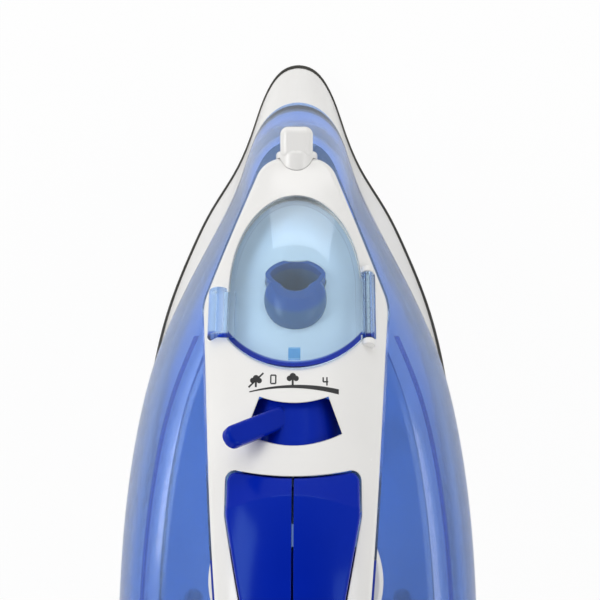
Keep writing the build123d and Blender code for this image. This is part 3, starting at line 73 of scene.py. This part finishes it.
# Materials. A noise is given as its scale per metre and its detail.

CLOUD = (45.0, 3.0)
PATCHES = (300.0, 4.0)
FINE_DETAIL = 2.0
GRAIN = 2600.0
COARSE_GRAIN = 1500.0
STAIN = (60.0, 5.0)
BRUSH_DETAIL = 3.0
RUBBER_CLOUD = (120.0, 4.0)
RUBBER_PATCHES = (500.0, 3.0)
RUBBER_GRAIN = (1800.0, 2.0)
RUBBER_ROUGHNESS = (0.55, 0.75)
COAT_ROUGHNESS = 0.08
BEVEL_SAMPLES = 4
CLEAR_DRIFT = 0.02
UPRIGHT_LEAN = 0.05


def new_material(name):
    """Node material with its tree and its main shader."""
    material = bpy.data.materials.new(name)
    material.use_nodes = True
    tree = material.node_tree
    shader = tree.nodes["Principled BSDF"]
    return material, tree, shader


def noise(tree, scale, detail, stretch=None):
    """Noise on the piece's own coordinates, in metres, with an optional stretch."""
    where = tree.nodes.new("ShaderNodeTexCoord")
    pattern = tree.nodes.new("ShaderNodeTexNoise")
    pattern.inputs["Scale"].default_value = scale
    pattern.inputs["Detail"].default_value = detail
    vector = where.outputs["Object"]
    if stretch:
        mapping = tree.nodes.new("ShaderNodeMapping")
        mapping.inputs["Scale"].default_value = stretch
        tree.links.new(vector, mapping.inputs["Vector"])
        vector = mapping.outputs["Vector"]
    tree.links.new(vector, pattern.inputs["Vector"])
    return pattern.outputs["Fac"]


def ramp(tree, factor, stops):
    """Colour ramp through stops of a place and a colour."""
    node = tree.nodes.new("ShaderNodeValToRGB")
    tree.links.new(factor, node.inputs["Fac"])
    elements = node.color_ramp.elements
    while len(elements) < len(stops):
        elements.new(0.5)
    for element, (place, colour) in zip(elements, stops):
        element.position = place
        element.color = (*colour, 1.0)
    return node.outputs["Color"]


def spread(tree, factor, low, high):
    """Factor spread from a low to a high value."""
    node = tree.nodes.new("ShaderNodeMapRange")
    node.inputs["To Min"].default_value = low
    node.inputs["To Max"].default_value = high
    tree.links.new(factor, node.inputs["Value"])
    return node.outputs["Result"]


def shade(colour, by):
    """Colour made lighter or darker by a factor."""
    return tuple(min(1.0, channel * by) for channel in colour)


def edge_normal(tree, radius, height, strength, distance):
    """Moulded grain over edges that are softened by a small radius."""
    bump = tree.nodes.new("ShaderNodeBump")
    bump.inputs["Strength"].default_value = strength
    bump.inputs["Distance"].default_value = distance
    tree.links.new(height, bump.inputs["Height"])
    if radius:
        bevel = tree.nodes.new("ShaderNodeBevel")
        bevel.samples = BEVEL_SAMPLES
        bevel.inputs["Radius"].default_value = radius
        tree.links.new(bevel.outputs["Normal"], bump.inputs["Normal"])
    return bump.outputs["Normal"]


def plastic(name, colour, roughness=(0.22, 0.34), grain=GRAIN, grain_depth=0.00002, soften=0.0005,
            drift=0.05, coat=0.0, transmission=0.0, shine=0.5, tint=(1, 1, 1), detail=None):
    """Moulded plastic: slight drift of colour, grain that breaks the gloss, softened edges."""
    material, tree, shader = new_material(name)
    cloud = noise(tree, *CLOUD)
    tone = ramp(tree, cloud, ((0.3, shade(colour, 1 - drift)), (0.7, shade(colour, 1 + drift))))
    if detail:
        tone = detail(tree, tone)
    tree.links.new(tone, shader.inputs["Base Color"])
    fine = noise(tree, grain, FINE_DETAIL)
    tree.links.new(spread(tree, noise(tree, *PATCHES), *roughness), shader.inputs["Roughness"])
    normal = edge_normal(tree, soften, fine, 0.25, grain_depth)
    tree.links.new(normal, shader.inputs["Normal"])
    shader.inputs["Specular IOR Level"].default_value = shine
    shader.inputs["Specular Tint"].default_value = (*tint, 1.0)
    shader.inputs["Transmission Weight"].default_value = transmission
    shader.inputs["Coat Weight"].default_value = coat
    shader.inputs["Coat Roughness"].default_value = COAT_ROUGHNESS
    return material


def share_between(tree, value, low, high):
    """Share of the way from one value to another."""
    node = tree.nodes.new("ShaderNodeMapRange")
    node.inputs["From Min"].default_value = low
    node.inputs["From Max"].default_value = high
    tree.links.new(value, node.inputs["Value"])
    return node.outputs["Result"]


def mix_colour(tree, share, first, second):
    """Mix of two colours, each a colour or a socket."""
    node = tree.nodes.new("ShaderNodeMixRGB")
    tree.links.new(share, node.inputs["Fac"])
    for name, colour in (("Color1", first), ("Color2", second)):
        if isinstance(colour, tuple):
            node.inputs[name].default_value = (*colour, 1.0)
        else:
            tree.links.new(colour, node.inputs[name])
    return node.outputs["Color"]


def calculate(tree, operation, *values):
    """Result of a math node over sockets and numbers."""
    node = tree.nodes.new("ShaderNodeMath")
    node.operation = operation
    for socket, value in zip(node.inputs, values):
        if isinstance(value, float):
            socket.default_value = value
        else:
            tree.links.new(value, socket)
    return node.outputs["Value"]


def coordinates(tree, output):
    """X, Y and Z sockets of a kind of coordinate."""
    where = tree.nodes.new("ShaderNodeTexCoord")
    split = tree.nodes.new("ShaderNodeSeparateXYZ")
    tree.links.new(where.outputs[output], split.inputs["Vector"])
    return split.outputs


def lean_of(tree):
    """0 on upright faces, 1 on level ones."""
    return calculate(tree, "ABSOLUTE", coordinates(tree, "Normal")["Z"])


LID_ARC_PLACE = 74.2
LID_ARC_R = 28.98
LID_BAND = (1.7, 1.3)
LID_HALF = 20.4
LID_TAB_END = (93.0, 93.4)
LID_CATCH = (99.2, 1.8, 1.7)
# Painted shade for the lid's thick parts, in place of the longer path of light through them.
LID_PAINTED_SHADE = (0.006, 0.035, 0.46)
LID_CATCH_PAINTED_SHADE = (0.20, 0.46, 0.78)


def lid_painted_shade(tree, tone):
    """Painted shade where the lid's rear edge, the ends of its tab and hinge, and its catch are thick, in
    place of the longer path of light through them.
    """
    place = coordinates(tree, "Object")
    side = calculate(tree, "ABSOLUTE", place["X"])
    behind = calculate(tree, "SUBTRACT", (LENGTH / 2) * MM, place["Y"])
    back = calculate(tree, "SUBTRACT", behind, LID_ARC_PLACE * MM)
    squares = [calculate(tree, "POWER", value, 2.0) for value in (side, back)]
    away = calculate(tree, "SQRT", calculate(tree, "ADD", *squares))
    start, end = ((LID_ARC_R - inset) * MM for inset in LID_BAND)
    on_lid = calculate(tree, "LESS_THAN", side, LID_HALF * MM)
    rear = calculate(tree, "MULTIPLY", share_between(tree, away, start, end), on_lid)
    start, end = (edge * MM for edge in LID_TAB_END)
    beside = calculate(tree, "GREATER_THAN", side, LID_HALF * MM)
    ends = calculate(tree, "MULTIPLY", share_between(tree, behind, start, end), beside)
    catch_place, catch_half, catch_reach = LID_CATCH
    across = calculate(tree, "LESS_THAN", side, catch_half * MM)
    along = calculate(tree, "COMPARE", behind, catch_place * MM, catch_reach * MM)
    catch = calculate(tree, "MULTIPLY", across, along)
    # Painted shade on the catch, then on the rear edge and the ends of the tab and hinge.
    tone = mix_colour(tree, catch, tone, LID_CATCH_PAINTED_SHADE)
    return mix_colour(tree, calculate(tree, "ADD", rear, ends), tone, LID_PAINTED_SHADE)


# Painted light and shade on the tank's sloped flanks and along its rib, standing in for how light passes
# through the walls.
FLANK_RANGE = (176.0, 83.0)
FLANK_REAR_PAINTED_SHADE = (0.29, 0.49, 0.92)
FLANK_FRONT_PAINTED_LIGHT = (0.60, 0.74, 0.97)
FLANK_LEAN = (0.6, 0.9)
RIB_LOW = 46.0
RIB_REACH = 0.2
RIB_LEAN = (0.8, 0.95)
RIB_PAINTED_SHADE = (0.001, 0.09, 0.60)


def tank_painted_light_and_shade(tree, tone):
    """Painted light and shade on the flanks, deeper toward the rear and paler toward the nose, over a
    painted dark line of shade along the rib inside.
    """
    place = coordinates(tree, "Object")
    start, end = ((LENGTH / 2 - behind) * MM for behind in FLANK_RANGE)
    flank = mix_colour(tree, share_between(tree, place["Y"], start, end), FLANK_REAR_PAINTED_SHADE, FLANK_FRONT_PAINTED_LIGHT)
    tone = mix_colour(tree, share_between(tree, lean_of(tree), *FLANK_LEAN), flank, tone)
    # Painted shade: a dark line on the level underside of the rib.
    foot = calculate(tree, "COMPARE", place["Z"], RIB_LOW * MM, RIB_REACH * MM)
    level = share_between(tree, lean_of(tree), *RIB_LEAN)
    return mix_colour(tree, calculate(tree, "MULTIPLY", foot, level), tone, RIB_PAINTED_SHADE)


SPOUT_MOUTH = (75.0, 74.0)
SPOUT_LEAN = radians(50.0)
SPOUT_RIM = (2.0, 3.0)
# Painted shade for the rim of the mouth, in place of the longer path of light through it.
SPOUT_RIM_PAINTED_SHADE = (0.003, 0.07, 0.30)


def spout_painted_shade(tree, tone):
    """Painted shade in the thick rim around the spout's mouth."""
    place = coordinates(tree, "Object")
    behind, height = SPOUT_MOUTH
    back = calculate(tree, "SUBTRACT", (LENGTH / 2 - behind) * MM, place["Y"])
    down = calculate(tree, "SUBTRACT", height * MM, place["Z"])
    along = calculate(tree, "MULTIPLY", back, sin(SPOUT_LEAN))
    below = calculate(tree, "MULTIPLY", down, cos(SPOUT_LEAN))
    depth = calculate(tree, "ADD", along, below)
    start, end = (edge * MM for edge in SPOUT_RIM)
    # Painted shade near the mouth's edge, fading to the spout's own colour further in.
    return mix_colour(tree, share_between(tree, depth, start, end), SPOUT_RIM_PAINTED_SHADE, tone)


def clear_plastic(name, colour, edge, lamp_tint, roughness, haze, ior, painted_shade_lean, detail):
    """See-through tinted plastic with painted shade on upright faces, standing in for the longer path of
    light through a wall seen edge-on, that lets the lamps through.
    """
    material, tree, shader = new_material(name)
    pale, deep = shade(colour, 1 + CLEAR_DRIFT), shade(colour, 1 - CLEAR_DRIFT)
    tone = ramp(tree, noise(tree, *CLOUD), ((0.3, deep), (0.7, pale)))
    tone = detail(tree, tone)
    # Painted shade: faces near upright take the deeper edge colour.
    tone = mix_colour(tree, share_between(tree, lean_of(tree), UPRIGHT_LEAN, painted_shade_lean), edge, tone)
    tree.links.new(tone, shader.inputs["Base Color"])
    tree.links.new(spread(tree, noise(tree, *PATCHES), *roughness), shader.inputs["Roughness"])
    normal = edge_normal(tree, 0.0, noise(tree, GRAIN, FINE_DETAIL), 0.2, 0.000004)
    tree.links.new(normal, shader.inputs["Normal"])
    shader.inputs["IOR"].default_value = ior
    shader.inputs["Transmission Weight"].default_value = 1.0 - haze
    through = tree.nodes.new("ShaderNodeBsdfTransparent")
    through.inputs["Color"].default_value = (*lamp_tint, 1.0)
    path = tree.nodes.new("ShaderNodeLightPath")
    choose = tree.nodes.new("ShaderNodeMixShader")
    tree.links.new(path.outputs["Is Shadow Ray"], choose.inputs["Fac"])
    tree.links.new(shader.outputs["BSDF"], choose.inputs[1])
    tree.links.new(through.outputs["BSDF"], choose.inputs[2])
    tree.links.new(choose.outputs["Shader"], tree.nodes["Material Output"].inputs["Surface"])
    return material


def metal(name, colour, roughness=(0.25, 0.42), stretch=(1.0, 1.0, 1.0), brush=900.0, soften=0.0003):
    """Metal with fine brushed or turned marks and a little stain."""
    material, tree, shader = new_material(name)
    stain = noise(tree, *STAIN)
    tone = ramp(tree, stain, ((0.25, shade(colour, 0.82)), (0.75, shade(colour, 1.1))))
    tree.links.new(tone, shader.inputs["Base Color"])
    marks = noise(tree, brush, BRUSH_DETAIL, stretch)
    tree.links.new(spread(tree, marks, *roughness), shader.inputs["Roughness"])
    tree.links.new(edge_normal(tree, soften, marks, 0.3, 0.00003), shader.inputs["Normal"])
    shader.inputs["Metallic"].default_value = 1.0
    return material


def rubber(name, colour):
    """Dull rubber with a coarse grain."""
    material, tree, shader = new_material(name)
    tone = ramp(tree, noise(tree, *RUBBER_CLOUD), ((0.3, shade(colour, 0.85)), (0.7, shade(colour, 1.1))))
    tree.links.new(tone, shader.inputs["Base Color"])
    dull = spread(tree, noise(tree, *RUBBER_PATCHES), *RUBBER_ROUGHNESS)
    tree.links.new(dull, shader.inputs["Roughness"])
    normal = edge_normal(tree, 0.0, noise(tree, *RUBBER_GRAIN), 0.4, 0.00005)
    tree.links.new(normal, shader.inputs["Normal"])
    return material


materials = {
    "white_plastic": plastic("white_plastic", (0.84, 0.83, 0.81), (0.20, 0.30), coat=0.25, drift=0.015),
    # The second colour of tank_blue and lid_blue is painted shade for their upright faces.
    "tank_blue": clear_plastic("tank_blue", (0.51, 0.68, 0.96), (0.07, 0.24, 0.78), (0.66, 0.78, 0.94),
                               (0.08, 0.14), 0.12, 1.45, 0.14, tank_painted_light_and_shade),
    "lid_blue": clear_plastic("lid_blue", (0.72, 0.86, 0.97), (0.10, 0.26, 0.80), (0.79, 0.86, 0.91),
                              (0.02, 0.05), 0.04, 1.40, 0.80, lid_painted_shade),
    "deep_blue": plastic("deep_blue", (0.001, 0.015, 0.36), (0.14, 0.22), drift=0.06, shine=0.22,
                         tint=(0.25, 0.55, 1.0)),
    "spout_blue": plastic("spout_blue", (0.045, 0.11, 0.23), (0.15, 0.25), shine=0.3, detail=spout_painted_shade),
    "handle_blue": plastic("handle_blue", (0.006, 0.03, 0.36), (0.35, 0.5), grain=COARSE_GRAIN,
                           grain_depth=0.00006),
    "sole_metal": metal("sole_metal", (0.24, 0.235, 0.215), (0.28, 0.45), (14.0, 1.0, 14.0), 260.0),
    "heater_steel": metal("heater_steel", (0.16, 0.14, 0.12), (0.4, 0.6)),
    "steel": metal("steel", (0.55, 0.55, 0.56), (0.22, 0.36)),
    "brass": metal("brass", (0.60, 0.42, 0.16), (0.2, 0.35)),
    "dark_plastic": plastic("dark_plastic", (0.02, 0.02, 0.022), (0.4, 0.55), grain=COARSE_GRAIN,
                            grain_depth=0.00005),
    "pale_plastic": plastic("pale_plastic", (0.62, 0.62, 0.58), (0.35, 0.5)),
    "hose_rubber": rubber("hose_rubber", (0.58, 0.57, 0.52)),
    "seal_rubber": rubber("seal_rubber", (0.05, 0.05, 0.053)),
    "lamp_amber": plastic("lamp_amber", (0.80, 0.28, 0.03), (0.05, 0.1), transmission=0.6, drift=0.03),
    "print_black": plastic("print_black", (0.012, 0.012, 0.013), (0.4, 0.55), soften=0.0),
}

finish_of = {part["node"]: part["material_slot"] for part in frame["record"]["subparts"]}
finish_of["fill_spout"] = "spout_blue"
for name, node in frame["nodes"].items():
    node.data.materials.clear()
    node.data.materials.append(materials[finish_of[name]])


# Print on the cover and dial

DROP_FROM = 1.0


class Surface:
    """Height of a node's top over a place."""

    def __init__(self, name):
        mesh = frame["nodes"][name].data
        points = [vertex.co.copy() for vertex in mesh.vertices]
        self.tree = BVHTree.FromPolygons(points, [list(face.vertices) for face in mesh.polygons])

    def drop(self, point):
        hit = self.tree.ray_cast(Vector((point.x, point.y, DROP_FROM)), Vector((0, 0, -1)))
        return hit[0]


PRINT_LIFT = 0.00004
PRINT_CELL = 0.0006
DIAL_CELL = 0.0012
SPLIT_ROUNDS = 4
cover_top = Surface("top_cover")


def printed(name, polygons, surface, material, body, cells=PRINT_CELL):
    """Flat outlines laid on a surface as a thin film of ink."""
    mesh = bpy.data.meshes.new(name)
    work = bmesh.new()
    for outline in polygons:
        corners = [work.verts.new((x * MM, (LENGTH / 2 - behind) * MM, 0)) for x, behind in outline]
        work.faces.new(corners)
    bmesh.ops.triangulate(work, faces=work.faces[:])
    for _ in range(SPLIT_ROUNDS):
        long = [edge for edge in work.edges if edge.calc_length() > cells]
        if not long:
            break
        bmesh.ops.subdivide_edges(work, edges=long, cuts=1)
        bmesh.ops.triangulate(work, faces=work.faces[:])
    for vertex in work.verts:
        vertex.co = surface.drop(vertex.co) + Vector((0, 0, PRINT_LIFT))
    bmesh.ops.recalc_face_normals(work, faces=work.faces[:])
    if sum(face.normal.z for face in work.faces) < 0:
        bmesh.ops.reverse_faces(work, faces=work.faces[:])
    work.to_mesh(mesh)
    work.free()
    piece = bpy.data.objects.new(name, mesh)
    scene.collection.objects.link(piece)
    piece.data.materials.append(materials[material])
    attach(piece, body)
    return piece


def circle(x, behind, radius, count=20):
    """Round outline."""
    turns = [2 * pi * step / count for step in range(count)]
    return [(x + radius * cos(turn), behind + radius * sin(turn)) for turn in turns]


def bar(start, end, width):
    """Straight stroke between two places."""
    (x0, d0), (x1, d1) = start, end
    long = ((x1 - x0) ** 2 + (d1 - d0) ** 2) ** 0.5
    nx, nd = -(d1 - d0) / long * width / 2, (x1 - x0) / long * width / 2
    return [(x0 + nx, d0 + nd), (x1 + nx, d1 + nd), (x1 - nx, d1 - nd), (x0 - nx, d0 - nd)]


SCALE_HALF = 13.3
SCALE_MID = 108.6
SCALE_END = 110.3
SCALE_STEPS = 24
SCALE_THIN = 0.35
SCALE_THICK = 1.5


def scale_wedge():
    """Arc that grows thicker from left to right."""
    upper, lower = [], []
    for step in range(SCALE_STEPS + 1):
        share = step / SCALE_STEPS
        x = -SCALE_HALF + 2 * SCALE_HALF * share
        behind = SCALE_MID + (SCALE_END - SCALE_MID) * (x / SCALE_HALF) ** 2
        thick = SCALE_THIN + (SCALE_THICK - SCALE_THIN) * share
        upper.append((x, behind - thick / 2))
        lower.append((x, behind + thick / 2))
    quads = []
    for step in range(SCALE_STEPS):
        quads.append([upper[step], upper[step + 1], lower[step + 1], lower[step]])
    return quads


PUFF_LOBES = ((-1.0, 0.1, 0.8), (0.0, -0.5, 1.0), (1.0, 0.1, 0.8))
PUFF_STEM = (0.2, 2.0, 0.6)


def puff(x, behind):
    """Small cloud of steam on a stem."""
    start, end, width = PUFF_STEM
    shapes = [circle(x + dx, behind + dd, radius) for dx, dd, radius in PUFF_LOBES]
    return shapes + [bar((x, behind + start), (x, behind + end), width)]


def digit(strokes, x, behind, width=1.5, height=2.4, thick=0.42):
    """Plain numeral from straight strokes on a unit grid."""

    def corner(across, along):
        return (x + across * width / 2, behind + along * height / 2)

    return [bar(corner(a, b), corner(c, d), thick) for a, b, c, d in strokes]


ZERO = ((-1, -1, 1, -1), (1, -1, 1, 1), (1, 1, -1, 1), (-1, 1, -1, -1))
ONE = ((0, -1, 0, 1), (-0.5, -0.6, 0, -1))
TWO = ((-1, -1, 1, -1), (1, -1, 1, 0), (1, 0, -1, 0), (-1, 0, -1, 1), (-1, 1, 1, 1))
THREE = ((-1, -1, 1, -1), (1, -1, 1, 1), (1, 1, -1, 1), (-0.4, 0, 1, 0))
FOUR = ((-1, -1, -1, 0.1), (-1, 0.1, 1, 0.1), (0.5, -1, 0.5, 1))

ICON_PLACE = 106.6
PUFF_AT = (-0.4, ICON_PLACE - 0.4)
ZERO_AT = (-6.2, ICON_PLACE)
FOUR_AT = (9.4, ICON_PLACE + 0.6)
DRY_AT = (-11.4, ICON_PLACE + 0.3)
DRY_STROKE = ((-13.6, ICON_PLACE + 2.4), (-9.2, ICON_PLACE - 1.8), 0.5)
scale_marks = (
    ("steam_scale", scale_wedge()),
    ("steam_scale_puff", puff(*PUFF_AT)),
    ("steam_scale_zero", digit(ZERO, *ZERO_AT)),
    ("steam_scale_four", digit(FOUR, *FOUR_AT)),
    ("steam_scale_dry", puff(*DRY_AT) + [bar(*DRY_STROKE)]),
)
for name, shapes in scale_marks:
    printed(name, shapes, cover_top, "print_black", "iron")


def turned(polygons, x, behind, angle):
    """Outlines turned about a place."""
    c, s = cos(angle), sin(angle)

    def turn(point):
        across, along = point[0] - x, point[1] - behind
        return (x + across * c - along * s, behind + across * s + along * c)

    return [[turn(point) for point in outline] for outline in polygons]


DIAL_PLACE = 172.0
DIAL_MARK = 21.5
DIAL_DIGIT = (2.4, 3.8, 0.7)
DIAL_TICK = (23.4, 25.2)
DIAL_TICK_WIDTH = 0.5
DIAL_TICKS = 18
DIAL_NUMERALS = (ZERO, ONE, TWO, THREE)
DIAL_RANGE = radians(270.0)
DIAL_START = radians(135.0)
dial_top = Surface("temperature_dial")


def dial_print():
    """Numerals and ticks that come round to the index mark as the dial turns."""
    shapes = []
    for step, strokes in enumerate(DIAL_NUMERALS):
        mark = digit(strokes, 0.0, DIAL_PLACE - DIAL_MARK, *DIAL_DIGIT)
        angle = DIAL_START + DIAL_RANGE * step / (len(DIAL_NUMERALS) - 1)
        shapes += turned(mark, 0.0, DIAL_PLACE, angle)
    start, end = ((0.0, DIAL_PLACE - radius) for radius in DIAL_TICK)
    for step in range(DIAL_TICKS + 1):
        angle = DIAL_START + DIAL_RANGE * step / DIAL_TICKS
        shapes += turned([bar(start, end, DIAL_TICK_WIDTH)], 0.0, DIAL_PLACE, angle)
    return shapes


printed("dial_scale", dial_print(), dial_top, "print_black", "temperature_dial", DIAL_CELL)
INDEX_NEAR = 29.4
INDEX_FAR = 33.4
INDEX_HALF = 2.0
index = [(0.0, DIAL_PLACE - INDEX_NEAR), (INDEX_HALF, DIAL_PLACE - INDEX_FAR),
         (-INDEX_HALF, DIAL_PLACE - INDEX_FAR)]
printed("dial_index", turned([index], 0.0, DIAL_PLACE, DIAL_START), Surface("tank_shell"), "white_plastic",
        "iron", DIAL_CELL)


# Wound springs of the two pumps

COIL_TURNS = 6
COIL_STEPS = 24
COIL_RING = 8
COIL_WIRE = 0.4


def coil(name, node):
    """Wire wound up the room of a spring, with closed ends."""
    low, high = (Vector(corner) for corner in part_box(node))
    centre = (low + high) / 2
    wire = COIL_WIRE * MM
    radius = (high.x - low.x) / 2 - wire
    bottom, rise = low.z + wire, high.z - low.z - 2 * wire
    count = COIL_TURNS * COIL_STEPS
    points, faces = [], []
    for step in range(count + 1):
        turn = 2 * pi * step / COIL_STEPS
        share = min(1.0, max(0.0, (step - COIL_STEPS) / (count - 2 * COIL_STEPS)))
        ends = min(step, COIL_STEPS) + max(0, step - count + COIL_STEPS)
        level = bottom + 2 * wire * ends / COIL_STEPS + (rise - 4 * wire) * share
        out = Vector((cos(turn), sin(turn), 0))
        for ring in range(COIL_RING):
            angle = 2 * pi * ring / COIL_RING
            points.append(Vector((centre.x, centre.y, level)) + out * (radius + wire * cos(angle))
                          + Vector((0, 0, wire * sin(angle))))
    for step in range(count):
        for ring in range(COIL_RING):
            first, second = step * COIL_RING + ring, step * COIL_RING + (ring + 1) % COIL_RING
            faces.append((first, second, second + COIL_RING, first + COIL_RING))
    faces.append(tuple(reversed(range(COIL_RING))))
    faces.append(tuple(range(count * COIL_RING, (count + 1) * COIL_RING)))
    mesh = bpy.data.meshes.new(name)
    mesh.from_pydata(points, [], faces)
    work = bmesh.new()
    work.from_mesh(mesh)
    bmesh.ops.recalc_face_normals(work, faces=work.faces[:])
    work.to_mesh(mesh)
    work.free()
    mesh.shade_smooth()
    piece = bpy.data.objects.new(name, mesh)
    scene.collection.objects.link(piece)
    mesh.materials.append(materials["steel"])
    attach(piece, "iron")
    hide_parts(node)
    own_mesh(piece)


for side in ("spray", "burst"):
    coil(f"{side}_spring_coil", f"{side}_pump_spring")


# Stage, light and camera

FLOOR_HALF = 4.0
FLOOR_DROP = 0.00002
FLOOR_GREY = 0.9
FLOOR_GLOW = 0.95


def floor():
    """Pale floor that the camera sees nearly white."""
    mesh = bpy.data.meshes.new("floor")
    corners = ((-1, -1), (1, -1), (1, 1), (-1, 1))
    points = [(x * FLOOR_HALF, y * FLOOR_HALF, -FLOOR_DROP) for x, y in corners]
    mesh.from_pydata(points, [], [(0, 1, 2, 3)])
    plane = bpy.data.objects.new("floor", mesh)
    scene.collection.objects.link(plane)
    material, tree, shader = new_material("floor_white")
    shader.inputs["Base Color"].default_value = (FLOOR_GREY, FLOOR_GREY, FLOOR_GREY, 1)
    shader.inputs["Roughness"].default_value = 0.9
    glow = tree.nodes.new("ShaderNodeEmission")
    glow.inputs["Color"].default_value = (1, 1, 1, 1)
    glow.inputs["Strength"].default_value = 1.0
    path = tree.nodes.new("ShaderNodeLightPath")
    seen = calculate(tree, "MULTIPLY", path.outputs["Is Camera Ray"], FLOOR_GLOW)
    mix = tree.nodes.new("ShaderNodeMixShader")
    tree.links.new(seen, mix.inputs["Fac"])
    tree.links.new(shader.outputs["BSDF"], mix.inputs[1])
    tree.links.new(glow.outputs["Emission"], mix.inputs[2])
    tree.links.new(mix.outputs["Shader"], tree.nodes["Material Output"].inputs["Surface"])
    mesh.materials.append(material)


LAMP_TARGET = (0, 0, 0.05)
LAMPS = (
    ("key", (-1.0, 0.25, 0.85), (0.9, 0.5), 6.4),
    ("fill", (1.0, -0.2, 0.9), (0.8, 0.6), 4.0),
    ("front", (0.1, 1.5, 0.42), (1.2, 0.4), 3.6),
)


def soft_box(name, place, size, power):
    """Rectangular lamp that faces the iron."""
    light = bpy.data.lights.new(name, "AREA")
    light.shape = "RECTANGLE"
    light.size, light.size_y = size
    light.energy = power
    lamp = bpy.data.objects.new(name, light)
    lamp.location = place
    lamp.rotation_euler = (Vector(LAMP_TARGET) - Vector(place)).to_track_quat("-Z", "Y").to_euler()
    scene.collection.objects.link(lamp)


WALL_LIGHT = 0.75
WALL_TOP = 0.62
CEILING_LIGHT = 0.12
CEILING_EDGE = 0.96


def world():
    """Studio with pale walls and a dark ceiling."""
    sky = bpy.data.worlds.new("studio")
    scene.world = sky
    sky.use_nodes = True
    tree = sky.node_tree
    back = tree.nodes["Background"]
    back.inputs["Color"].default_value = (1, 1, 1, 1)
    height = share_between(tree, coordinates(tree, "Generated")["Z"], WALL_TOP, CEILING_EDGE)
    tree.links.new(spread(tree, height, WALL_LIGHT, CEILING_LIGHT), back.inputs["Strength"])


CAMERA_HEIGHT = 600.0
CAMERA_SIDE = 8.5
CAMERA_PLACE = 83.0
CAMERA_AIM_SIDE = 0.4
FOCAL_PIXELS = 1680.0
IMAGE_PIXELS = 600.0
SENSOR = 36.0
CLIP_START = 0.01


def camera():
    """Camera above the iron, as in the photo."""
    lens = bpy.data.cameras.new("camera")
    lens.sensor_width = SENSOR
    lens.lens = SENSOR * FOCAL_PIXELS / IMAGE_PIXELS
    lens.clip_start = CLIP_START
    eye = bpy.data.objects.new("camera", lens)
    eye.location = at(CAMERA_SIDE, CAMERA_PLACE, CAMERA_HEIGHT)
    lean = atan((CAMERA_SIDE - CAMERA_AIM_SIDE) / CAMERA_HEIGHT)
    eye.rotation_euler = (0, lean, 0)
    scene.collection.objects.link(eye)
    scene.camera = eye


floor()
world()
camera()
for lamp in LAMPS:
    soft_box(*lamp)
scene.view_settings.view_transform = "Standard"
